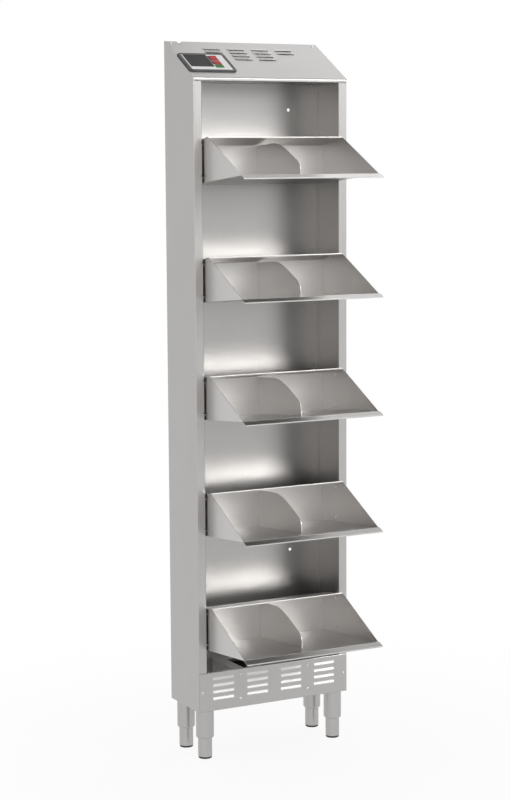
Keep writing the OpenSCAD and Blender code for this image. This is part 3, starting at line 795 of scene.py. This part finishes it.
def floor_material(stage):
    """A pale floor that keeps the dryer's soft shadow and runs out to plain white."""
    material, tree, surface = blank_material("studio_floor")
    surface.inputs["Base Color"].default_value = (*stage.floor_colour, 1)
    surface.inputs["Roughness"].default_value = 0.9
    distance = add_node(tree, "ShaderNodeVectorMath", operation="LENGTH")
    tree.links.new(object_place(tree), distance.inputs[0])
    fade = eased_range(tree, distance.outputs["Value"], FADE_SPAN, FADE_SHARES)
    ray = add_node(tree, "ShaderNodeLightPath").outputs
    seen = combined(tree, "MAXIMUM", ray["Is Camera Ray"], ray["Is Glossy Ray"])
    seen = combined(tree, "MAXIMUM", seen, ray["Is Transmission Ray"])
    white = add_node(tree, "ShaderNodeEmission", {"Strength": 1.0})
    floor = mixed_shaders(tree, combined(tree, "MULTIPLY", fade, seen),
                          surface.outputs["BSDF"], white.outputs["Emission"])
    tree.links.new(floor, tree.nodes["Material Output"].inputs["Surface"])
    return material


CAMERA_PLACE = (-2.5739, -4.7371, 1.6871)
CAMERA_YAW = math.radians(27.88)
CAMERA_PITCH = math.radians(-7.08)
CAMERA_ROLL = math.radians(-0.34)
CAMERA_LENS = 87.57
CAMERA_SENSOR = 36
CAMERA_SHIFT = (-0.0023, -0.0018)


def add_camera():
    """The photograph's viewpoint, found from the cabinet's edges."""
    bpy.ops.object.camera_add()
    camera = bpy.context.object
    camera.name = "photo_camera"
    camera.matrix_world = (Matrix.Translation(CAMERA_PLACE) @ Matrix.Rotation(-CAMERA_YAW, 4, "Z")
                           @ Matrix.Rotation(math.pi / 2 + CAMERA_PITCH, 4, "X")
                           @ Matrix.Rotation(CAMERA_ROLL, 4, "Z"))
    camera.data.sensor_fit = "VERTICAL"
    camera.data.sensor_height = CAMERA_SENSOR
    camera.data.lens = CAMERA_LENS
    camera.data.shift_x, camera.data.shift_y = CAMERA_SHIFT
    camera.data.clip_end = 100
    bpy.context.scene.camera = camera


class DRYER_OT_set_stage(bpy.types.Operator):
    """Sets up the camera, the pale floor, the soft lamps and the studio around the dryer"""
    bl_idname = "dryer.set_stage"
    bl_label = "Set the stage"

    def execute(self, context):
        stage = context.scene.dryer_stage
        context.scene.view_settings.view_transform = "Standard"
        add_camera()
        bpy.ops.mesh.primitive_plane_add(size=60, location=(0, 0, 0))
        floor = context.object
        floor.name = "studio_floor"
        floor.data.materials.append(floor_material(stage))
        soft_lamp("front_lamp", (1.27, -2.18, 2.6), (0, 0.1, 1.1), 1.2, stage.front_lamp)
        soft_lamp("top_lamp", (0.75, 0.62, 2.75), (0.1, 0.1, 1.95), 1.0, stage.top_lamp)
        studio_world(stage)
        return {"FINISHED"}


class DRYER_OT_finish_frame(bpy.types.Operator):
    """Gives each CAD node the finish of its material slot, or its own where it has one"""
    bl_idname = "dryer.finish_frame"
    bl_label = "Finish the frame"

    def execute(self, context):
        make_materials(context.scene.dryer_finish)
        for part in frame["record"]["subparts"]:
            dress(nodes[part["node"]], OWN_FINISH.get(part["node"], part["material_slot"]))
        return {"FINISHED"}


def front_hole(x, z, radius, near=-4, far=5):
    """A tool that drills through the sheets at the front, from one depth to another."""
    return rod((x, near, z), (x, far, z), radius)


def above_slope(depth=0):
    """A tool that cuts away all that stands above a depth below the cover's plane."""
    return placed(block((-FAR, -FAR, -depth), (FAR, FAR, FAR)), ON_SLOPE)


# How far a tab reaches into the side wall that it is joined to.
TAB_ROOT = 0.2
FLANGE_GAP = 0.4


def side_tabs():
    """The left panel's tabs: for the leg plate, the base panel, the rail and the cover."""
    wall_x = -INSIDE - TAB_ROOT
    tabs = [block((wall_x, 4, UNDERSIDE), (-INSIDE + 24, BACK - 4, UNDERSIDE + SHEET))]
    near, far = SHEET + FACE_GAP, 2 * SHEET + FACE_GAP
    for low, high, screw_z in (
            (UNDERSIDE + SHEET + 4, KICK_TOP - SHEET - 1, KICK_END_SCREW_Z),
            (RAIL_LOW + SHEET + 0.4, FRONT_TOP - SHEET - 1.4, RAIL_SCREW_Z)):
        tab = block((wall_x, near, low), (-INSIDE + 22, far, high))
        tabs.append(cut(tab, [front_hole(-FRONT_SCREW_X, screw_z, TAPPED, 0, 6)]))
    tab = placed(block((wall_x, 16, -far), (-INSIDE + 18, SLOPE_LENGTH - 8, -near)), ON_SLOPE)
    hole = rod((-COVER_SCREW_X, COVER_SCREW_UP, -2 * PAST), (-COVER_SCREW_X, COVER_SCREW_UP, PAST),
               TAPPED)
    tabs.append(cut(tab, [placed(hole, ON_SLOPE)]))
    return tabs


class DRYER_OT_side_panels(bpy.types.Operator):
    """Folds the two side panels with their front flanges, returns, tabs and pin slots"""
    bl_idname = "dryer.side_panels"
    bl_label = "Side panels"

    def execute(self, context):
        path = [(-OPENING, RETURN), (-OPENING, 0), (-HALF_W, 0), (-HALF_W, BACK)]
        left = folded_sheet("cabinet_side_left", path, UNDERSIDE, REAR_TOP + SPARE, "Z", SHEET, 2.2)
        cut(left, [above_slope()])
        # The flange stops where the base panel and the rail begin.
        cut(left, [block((-INSIDE, -PAST, low), (-OPENING + PAST, RETURN + PAST, high))
                   for low, high in ((UNDERSIDE - PAST, KICK_TOP + FLANGE_GAP),
                                     (RAIL_LOW - FLANGE_GAP, REAR_TOP))])
        # Round seats for the bins' pins in the flange's return, with slots open to the front.
        inner, outer = -OPENING - 2 * SHEET, -OPENING + 1
        drops = [BIN_TOP - k * BIN_PITCH + drop for k in range(BIN_COUNT) for drop in PIN_DROPS]
        cut(left, [rod((inner, PIN_DEPTH, z), (outer, PIN_DEPTH, z), SLOT_RADIUS) for z in drops])
        slots = []
        for z in drops:
            slot = block((inner, -2 * RETURN, -SLOT_RADIUS), (outer, 0, SLOT_RADIUS))
            place = Matrix.Translation(mm(0, PIN_DEPTH, z)) @ Matrix.Rotation(-SLOT_ANGLE, 4, "X")
            slots.append(placed(slot, place))
        cut(left, slots)
        cut(left, [front_hole(-FRONT_SCREW_X, z, TAPPED, -3, 6)
                   for z in (KICK_END_SCREW_Z, RAIL_SCREW_Z)])
        joined([left, *side_tabs()])
        facing_out(left)
        right = mirrored(left, "cabinet_side_right")
        for piece, node in ((left, "side_panel_left"), (right, "side_panel_right")):
            fit(eased(piece, EASE), "satin_steel", "cabinet", node)
        return {"FINISHED"}


class DRYER_OT_back_panel(bpy.types.Operator):
    """Folds the back panel and drills its wall holes and the cable gland's hole"""
    bl_idname = "dryer.back_panel"
    bl_label = "Back panel"

    def execute(self, context):
        fold = BACK - 22
        path = [(-INSIDE, fold), (-INSIDE, BACK), (INSIDE, BACK), (INSIDE, fold)]
        back = folded_sheet("cabinet_back", path, UNDERSIDE + 6, REAR_TOP + SPARE, "Z", SHEET, 2)
        cut(back, [above_slope(2 * SHEET + 0.3)])
        holes = [(x, z, WALL_HOLE_RADIUS) for x, z in WALL_HOLES]
        holes.append((GLAND_X, GLAND_Z, GLAND_RADIUS))
        cut(back, [rod((x, BACK - PAST, z), (x, BACK + PAST, z), radius)
                   for x, z, radius in holes])
        fit(eased(back, EASE), "satin_steel", "cabinet", "back_panel")
        return {"FINISHED"}


# Middle of the control panel, across the cover and up its slope.
BEZEL = (-HALF_W + 77, 81.5)
BEZEL_CUTOUT = (114, 78)
# Each louvre's mouth: groups side by side, rows one below the other.
LOUVRE_PITCH = 19
COVER_LOUVRES = [((group - 1.5) * 75, 160.5 - LOUVRE_PITCH * row)
                 for group, rows in enumerate((2, 4, 4, 2)) for row in range(rows)]
KICK_LOUVRES = [((group - 1.5) * 108.5, KICK_TOP - 22.5 - LOUVRE_PITCH * row)
                for group in range(4) for row in range(4)]
# Length, width, height and rounded end of a hood.
COVER_HOOD = (60, 11, 2.4, 7)
KICK_HOOD = (71, 8, 2.1, 4)
# The opening that one hood covers: its middle above the mouth, its size and its corners.
COVER_SLOT = (3.4, (56, 6.4), 2.4)
KICK_SLOT = (2.6, (66, 5), 2)
NOTCH_RADIUS = 7
NOTCH_DEPTH = 5
SHEET_EDGE = INSIDE - SIDE_GAP
FRONT_BEND = 1.8


def louvre_slots(places, up, size, radius):
    return [rounded_outline((x, y + up), size, radius, 4) for x, y in places]


def cable_notch(x, edge):
    """The outline of a notch with a round end in the cover's upper edge, from right to left."""
    turn = [math.pi * step / 16 for step in range(17)]
    arc = [(x + NOTCH_RADIUS * math.cos(a), edge - NOTCH_DEPTH - NOTCH_RADIUS * math.sin(a))
           for a in turn]
    return [(x + NOTCH_RADIUS, edge), *arc, (x - NOTCH_RADIUS, edge)]


class DRYER_OT_head(bpy.types.Operator):
    """Folds the shelf and front rail of the head, and makes the sloped cover with its louvres"""
    bl_idname = "dryer.head"
    bl_label = "Head"

    def execute(self, context):
        step = SHEET + FACE_GAP
        rear = BACK - step
        top = FRONT_TOP - step / math.cos(SLOPE)
        lip = 13
        path = [(rear, RAIL_LOW + 18), (rear, RAIL_LOW), (0, RAIL_LOW), (0, top),
                (lip, top + lip * math.tan(SLOPE))]
        shelf = folded_sheet("head_rail", path, -SHEET_EDGE, SHEET_EDGE, "X", SHEET, FRONT_BEND)
        # The shelf's rear corners leave room for the back panel's folds, its lip for the tabs.
        cut(shelf, [block((side * HALF_W - 21.5, BACK - 26, RAIL_LOW - PAST),
                          (side * HALF_W + 21.5, BACK + PAST, RAIL_LOW + 30)) for side in SIDES])
        cut(shelf, [block((side * (INSIDE - 11) - 12, BEHIND_FRONT, FRONT_TOP - 8),
                          (side * (INSIDE - 11) + 12, BACK / 2, FRONT_TOP + 8)) for side in SIDES])
        cut(shelf, [front_hole(side * FRONT_SCREW_X, RAIL_SCREW_Z, CLEAR) for side in SIDES])
        fit(eased(shelf, EASE), "satin_steel", "cabinet", "head_shelf")

        low, high = 0.4, SLOPE_LENGTH - SHEET * math.tan(SLOPE) - FACE_GAP
        outline = [(-SHEET_EDGE, low), (SHEET_EDGE, low), (SHEET_EDGE, high),
                   *cable_notch(GLAND_X, high), (-SHEET_EDGE, high)]
        holes = [rounded_outline(BEZEL, BEZEL_CUTOUT, 3)]
        holes += [round_outline((side * COVER_SCREW_X, COVER_SCREW_UP), CLEAR) for side in SIDES]
        holes += louvre_slots(COVER_LOUVRES, *COVER_SLOT)
        cover = eased(plate("head_cover", [outline, *holes], -SHEET, 0, ON_SLOPE), EASE)
        press_louvres(cover, ON_SLOPE, COVER_LOUVRES, *COVER_HOOD)
        fit(cover, "satin_steel", "cabinet", "top_cover")
        return {"FINISHED"}


class DRYER_OT_kick_panel(bpy.types.Operator):
    """Folds the panel at the foot of the front and presses its sixteen louvres"""
    bl_idname = "dryer.kick_panel"
    bl_label = "Louvred base panel"

    def execute(self, context):
        path = [(16, UNDERSIDE), (0, UNDERSIDE), (0, KICK_TOP), (10, KICK_TOP)]
        panel = folded_sheet("base_panel", path, -SHEET_EDGE, SHEET_EDGE, "X", SHEET, FRONT_BEND)
        # Its folds leave room for the side tabs, the leg plates and the screws near its top.
        for x, reach, low, high in ((INSIDE, 25, UNDERSIDE, KICK_TOP),
                                    (INSIDE, 65, UNDERSIDE, UNDERSIDE),
                                    (KICK_SCREW_X, 18, KICK_TOP, KICK_TOP)):
            cut(panel, [block((side * x - reach, BEHIND_FRONT, low - 2 * PAST),
                              (side * x + reach, BACK / 2, high + 2 * PAST)) for side in SIDES])
        cut(panel, [front_hole(x, z, CLEAR) for x, z in KICK_SCREWS])
        cut(panel, [plate("tool", [outline], -PAST, PAST, FRONTAL)
                    for outline in louvre_slots(KICK_LOUVRES, *KICK_SLOT)])
        eased(panel, EASE)
        press_louvres(panel, FRONTAL, KICK_LOUVRES, *KICK_HOOD)
        fit(panel, "satin_steel", "cabinet", "kick_panel")
        return {"FINISHED"}


LEG_RADIUS = 25.4
FOOT_RADIUS = 20
FOOT_GAP = 0.05
PAD_TOP = 5
# Lower end of the leg tubes, which is rounded in and guides the foot with a collar.
LEG_LOW = 59
COLLAR_TOP = LEG_LOW + 12
FOOT_TOP = LEG_LOW + 52
LEG_INSET = 32
LEG_DEPTH = 29

# Profiles of a leg: radius and height.
LEG_PROFILE = [
    (LEG_RADIUS - 1, UNDERSIDE), (LEG_RADIUS, UNDERSIDE - 1), (LEG_RADIUS, LEG_LOW + 5),
    (LEG_RADIUS - 0.7, LEG_LOW + 2.4), (LEG_RADIUS - 2.4, LEG_LOW + 0.7), (LEG_RADIUS - 5, LEG_LOW),
    (FOOT_RADIUS + FOOT_GAP, LEG_LOW), (FOOT_RADIUS + FOOT_GAP, COLLAR_TOP),
    (LEG_RADIUS - SHEET, COLLAR_TOP), (LEG_RADIUS - SHEET, UNDERSIDE - 4)]
FOOT_PROFILE = [
    (FOOT_RADIUS - 1, PAD_TOP), (FOOT_RADIUS, PAD_TOP + 1), (FOOT_RADIUS, FOOT_TOP),
    (FOOT_RADIUS - SHEET, FOOT_TOP), (FOOT_RADIUS - SHEET, PAD_TOP + 2)]
PAD_PROFILE = [(FOOT_RADIUS - 2, 0), (FOOT_RADIUS - 1, 1), (FOOT_RADIUS - 1, PAD_TOP)]


class DRYER_OT_legs(bpy.types.Operator):
    """Turns the four leg tubes, their adjustable feet and the rubber pads"""
    bl_idname = "dryer.legs"
    bl_label = "Legs and feet"

    def execute(self, context):
        for side, x in (("left", LEG_INSET - HALF_W), ("right", HALF_W - LEG_INSET)):
            for row, y in (("front", LEG_DEPTH), ("rear", BACK - LEG_DEPTH)):
                leg = f"{row}_{side}"
                for name, profile, slot, body, node in (
                        ("leg_tube", LEG_PROFILE, "satin_steel", "cabinet", "leg"),
                        ("foot_tube", FOOT_PROFILE, "satin_steel", f"foot_{leg}", "foot"),
                        ("foot_rubber", PAD_PROFILE, "black_rubber", f"foot_{leg}", "pad")):
                    piece = smoothed(turned(f"{name}_{leg}", profile, x, y))
                    fit(piece, slot, body, f"{node}_{leg}")
        return {"FINISHED"}


# Bin profile: depth behind the front, and height above the bin's upper edge.
BIN_HOOD = (-25, 0)
BIN_REAR_TOP = (88, -22)
BIN_REAR_LOW = (81, -129)
BIN_TIP = (-225, -100.5)
BIN_LIP = (BIN_TIP[0] - 18, BIN_TIP[1] - 8)
# Hems that fall from the bin's upper edge and from its lip.
UPPER_HEM = 2.6
LIP_HEM = 3
BIN_OUTER = OPENING - 3
BIN_INNER = BIN_OUTER - BIN_SHEET
LIP_OUTER = BIN_OUTER + 2.5
PIN_HOLE = 3
# Where the divider's front edge meets the bin's floor, and the nose in which its upper edge ends.
DIVIDER_FOOT = BIN_TIP[0] + 62
DIVIDER_NOSE = Vector((DIVIDER_FOOT + 20, -62))
DIVIDER_DIP = 43


def bend_points(corners, steps):
    """Points along a smooth bend that four corners steer."""
    a, b, c, d = (Vector(corner) for corner in corners)
    shares = [step / steps for step in range(steps + 1)]
    return [tuple((1 - t) ** 3 * a + 3 * t * (1 - t) ** 2 * b + 3 * t * t * (1 - t) * c
                  + t ** 3 * d) for t in shares]


def lifted(points):
    """Points of the bin's profile, at the height of the uppermost bin."""
    return [(y, z + BIN_TOP) for y, z in points]


def bin_shell():
    """The folded pan and the sharp folded rim that forms its lip."""
    shell = [BIN_TIP, BIN_REAR_LOW, BIN_REAR_TOP, BIN_HOOD, (BIN_HOOD[0], -UPPER_HEM)]
    pan = folded_sheet("bin_sheet", lifted(shell), -BIN_INNER, BIN_INNER, "X", BIN_SHEET, 0.3)
    lip = [(BIN_LIP[0], BIN_LIP[1] - LIP_HEM), BIN_LIP, (BIN_TIP[0] + 0.4, BIN_TIP[1])]
    rim = folded_sheet("rim", lifted(lip), -LIP_OUTER, LIP_OUTER, "X", BIN_SHEET, 0)
    return joined([eased(pan, 0.12), eased(rim, 0.1)])


def bin_end_plates():
    """Both end plates, a sheet's thickness larger than the pan where they cover its edges."""
    corners = [(BIN_HOOD[0], 1), (BIN_REAR_TOP[0] + BIN_SHEET, BIN_REAR_TOP[1] + BIN_SHEET),
               (BIN_REAR_LOW[0] + BIN_SHEET, BIN_REAR_LOW[1] - BIN_SHEET),
               (BIN_TIP[0] + 0.3, BIN_TIP[1] - BIN_SHEET)]
    holes = [round_outline((PIN_DEPTH, BIN_TOP + drop), PIN_HOLE) for drop in PIN_DROPS]
    right = plate("bin_end", [lifted(corners), *holes], BIN_INNER, BIN_OUTER, UPRIGHT)
    left = mirrored(right, "bin_end_left")
    return joined([eased(right, 0.2), eased(left, 0.2)])


def bin_divider():
    """The wall between a bin's two compartments, with its dipped upper edge and rounded nose."""
    nose, dip = DIVIDER_NOSE, DIVIDER_DIP
    fall = (BIN_TIP[1] - BIN_REAR_LOW[1]) / (BIN_REAR_LOW[0] - BIN_TIP[0])
    edge = bend_points([(-15, -17), nose + Vector((2 * dip - 5, dip + 1)),
                        nose + Vector((dip, dip - 25)), nose], 28)
    edge += bend_points([nose, nose - Vector((13, 6)), nose - Vector((20, 16)),
                         nose - Vector((20, 32))], 16)[1:]
    outline = [BIN_REAR_LOW, (BIN_REAR_TOP[0] - 0.3, BIN_REAR_TOP[1] - 2), (8, -18), *edge,
               (DIVIDER_FOOT, BIN_REAR_LOW[1] + (BIN_REAR_LOW[0] - DIVIDER_FOOT) * fall)]
    wall_piece = plate("bin_wall", [lifted(outline)], -BIN_SHEET / 2, BIN_SHEET / 2, UPRIGHT)
    return eased(wall_piece, 0.2)


class DRYER_OT_bins(bpy.types.Operator):
    """Folds one hanging bin with its end plates and curved divider, and copies it to each place"""
    bl_idname = "dryer.bins"
    bl_label = "Bins"

    def execute(self, context):
        pieces = {"bin_pan": bin_shell(), "bin_ends": bin_end_plates(),
                  "bin_divider": bin_divider()}
        for k in range(1, BIN_COUNT + 1):
            for node, piece in pieces.items():
                twin = copied(piece, f"{node}_{k}_sheet", (0, 0, -(k - 1) * BIN_PITCH))
                fit(twin, "bin_steel", f"bin_{k}", f"{node}_{k}")
        for piece in pieces.values():
            bpy.data.objects.remove(piece)
        return {"FINISHED"}


# The control panel's sizes across the cover and up it, and its heights above the cover.
BEZEL_OUTER = (146, 103)
BEZEL_INNER = (126, 90)
BEZEL_HIGH = 4
LEDGE_OUTER = (126.4, 90.4)
LEDGE_INNER = (112, 76)
FACE_SIZE = (125.8, 89.8)
FACE_LOW = 1
FACE_HIGH = FACE_LOW + 2
PANE_LOW = FACE_LOW + 1
PANE_HIGH = FACE_HIGH + 0.3
KEY_TOP = FACE_HIGH + 1.2
KEY_LOW = KEY_TOP - 2.2
STEM_LOW = -3.8
STEM_RADIUS = 2
# Gap around the keys, on both sides together.
KEY_GAP = 0.6
# Each pane's and key's place from the middle of the panel, and its size. The strip beside the red
# keys is painted shade: a dark red pane that stands in for the shade on the keys' left sides.
DISPLAY = ((-22.75, 8.5), (71.5, 70))
KEY_SHADE_STRIP = ((17, 12), (6, 49))
KEYS = (("timer_key", "red_key", (31, 23), (20, 27)),
        ("stop_key", "red_key", (31, -3.5), (20, 19)),
        ("start_key", "green_key", (28.5, -23), (25, 15)))


def on_panel(middle):
    """A place given from the middle of the control panel."""
    return BEZEL[0] + middle[0], BEZEL[1] + middle[1]


def panel_outline(middle, size, radius, grow=0, steps=4):
    """The rounded outline of a key, a pane or its opening."""
    return rounded_outline(on_panel(middle), (size[0] + grow, size[1] + grow), radius, steps)


def on_outer_rim(edge):
    """Whether an edge of the bezel lies on top and outside its inner rim."""
    flat = ON_SLOPE.inverted()
    ends = [flat @ v.co * 1000 for v in edge.verts]
    return all(end.z > BEZEL_HIGH - 0.1
               and (abs(end.x - BEZEL[0]) > BEZEL_INNER[0] / 2 + 0.5
                    or abs(end.y - BEZEL[1]) > BEZEL_INNER[1] / 2 + 0.5) for end in ends)


class DRYER_OT_control_panel(bpy.types.Operator):
    """Makes the control panel's bezel, white face, display, three keys and a dark red strip of
    painted shade beside the red keys
    """
    bl_idname = "dryer.control_panel"
    bl_label = "Control panel"

    def execute(self, context):
        ring = plate("control_frame", [rounded_outline(BEZEL, BEZEL_OUTER, 12, 12),
                                       rounded_outline(BEZEL, BEZEL_INNER, 4)],
                     0, BEZEL_HIGH, ON_SLOPE)
        bpy.ops.object.mode_set(mode="EDIT")
        pick(ring, "edges", on_outer_rim)
        bpy.ops.mesh.bevel(offset=0.003, segments=6, affect="EDGES")
        bpy.ops.object.mode_set(mode="OBJECT")
        ledge = plate("ledge", [rounded_outline(BEZEL, LEDGE_OUTER, 4),
                                rounded_outline(BEZEL, LEDGE_INNER, 3)], 0, FACE_LOW, ON_SLOPE)
        fit(joined([eased(ring, 0.5, 3), smoothed(ledge)]), "dark_plastic", "cabinet",
            "control_bezel")

        holes = [panel_outline(middle, size, 0.8, KEY_GAP) for _, _, middle, size in KEYS]
        holes += [panel_outline(*DISPLAY, 0.8), panel_outline(*KEY_SHADE_STRIP, 0.4)]
        face = plate("control_plate", [rounded_outline(BEZEL, FACE_SIZE, 4), *holes],
                     FACE_LOW, FACE_HIGH, ON_SLOPE)
        fit(eased(face, EASE), "white_plastic", "cabinet", "control_face")
        # The second pane, dark red beside the red keys, is painted shade: it stands in for the
        # shade on the keys' left sides.
        for name, pane, radius, edge, slot, node in (
                ("display_glass", DISPLAY, 0.8, 0.25, "display_black", "display_window"),
                ("indicator_lens", KEY_SHADE_STRIP, 0.4, 0.2, "dark_red_lens", "indicator_window")):
            piece = plate(name, [panel_outline(*pane, radius)], PANE_LOW, PANE_HIGH, ON_SLOPE)
            fit(eased(piece, edge), slot, "cabinet", node)

        for name, slot, middle, size in KEYS:
            cap = plate(f"{name}_cap", [panel_outline(middle, size, 1, steps=6)], KEY_LOW, KEY_TOP,
                        ON_SLOPE)
            eased(cap, 0.5, 4)
            stem = plate("stem", [round_outline(on_panel(middle), STEM_RADIUS)], STEM_LOW,
                         KEY_TOP - 1, ON_SLOPE)
            joined([cap, smoothed(stem)])
            fit(cap, slot, name, name)
        return {"FINISHED"}


SHANK_RADIUS = 1.95
SHANK_LENGTH = 7
# Radius and height of the screws' heads.
COVER_HEAD = (4, 2.2)
RAIL_HEAD = (3, 1.8)
KICK_HEAD = (3.5, 1.8)


def screw_at(name, place, radius, height):
    """A pan head screw with a crossed recess, standing on a plane, with its shank below."""
    profile = [(SHANK_RADIUS, -SHANK_LENGTH), (SHANK_RADIUS, 0), (radius, 0),
               (radius, height * 0.45), (radius * 0.93, height * 0.72),
               (radius * 0.72, height * 0.92), (radius * 0.4, height)]
    head = smoothed(turned(name, profile, 0, 0, 32), 50)
    arm = radius * 0.55
    for wide, deep in ((arm, 0.5), (0.5, arm)):
        cut(head, [block((-wide, -deep, height * 0.45), (wide, deep, height * 2))])
    return placed(smoothed(head, 40), place)


class DRYER_OT_screws(bpy.types.Operator):
    """Makes the cross head screws of the cover, the rail and the base panel"""
    bl_idname = "dryer.screws"
    bl_label = "Screws"

    def execute(self, context):
        cover = [screw_at("cover_screw", on_plane(ON_SLOPE, side * COVER_SCREW_X, COVER_SCREW_UP),
                          *COVER_HEAD) for side in SIDES]
        cover += [screw_at("rail_screw", on_plane(FRONTAL, side * FRONT_SCREW_X, RAIL_SCREW_Z),
                           *RAIL_HEAD) for side in SIDES]
        fit(joined(cover), "bright_steel", "cabinet", "cover_screws")
        base = [screw_at("base_screw", on_plane(FRONTAL, x, z), *KICK_HEAD) for x, z in KICK_SCREWS]
        fit(joined(base), "bright_steel", "cabinet", "kick_screws")
        return {"FINISHED"}


STEPS = (DRYER_OT_set_stage, DRYER_OT_finish_frame, DRYER_OT_side_panels, DRYER_OT_back_panel,
         DRYER_OT_head, DRYER_OT_kick_panel, DRYER_OT_legs, DRYER_OT_bins, DRYER_OT_control_panel,
         DRYER_OT_screws)


class DRYER_PT_panel(bpy.types.Panel):
    """Lists the steps that dress the shoe dryer"""
    bl_idname = "DRYER_PT_panel"
    bl_label = "Shoe dryer"
    bl_space_type = "VIEW_3D"
    bl_region_type = "UI"
    bl_category = "Shoe dryer"

    def draw(self, context):
        for settings in (context.scene.dryer_finish, context.scene.dryer_stage):
            for key in settings.bl_rna.properties.keys():
                if key not in ("rna_type", "name"):
                    self.layout.prop(settings, key)
        for step in STEPS:
            self.layout.operator(step.bl_idname)


CLASSES = (DryerFinish, DryerStage, *STEPS, DRYER_PT_panel)


def register():
    for cls in CLASSES:
        bpy.utils.register_class(cls)
    bpy.types.Scene.dryer_finish = bpy.props.PointerProperty(type=DryerFinish)
    bpy.types.Scene.dryer_stage = bpy.props.PointerProperty(type=DryerStage)


def unregister():
    del bpy.types.Scene.dryer_stage
    del bpy.types.Scene.dryer_finish
    for cls in reversed(CLASSES):
        bpy.utils.unregister_class(cls)


def main():
    register()
    for step in STEPS:
        group, name = step.bl_idname.split(".")
        getattr(getattr(bpy.ops, group), name)()


if __name__ == "__main__":
    main()
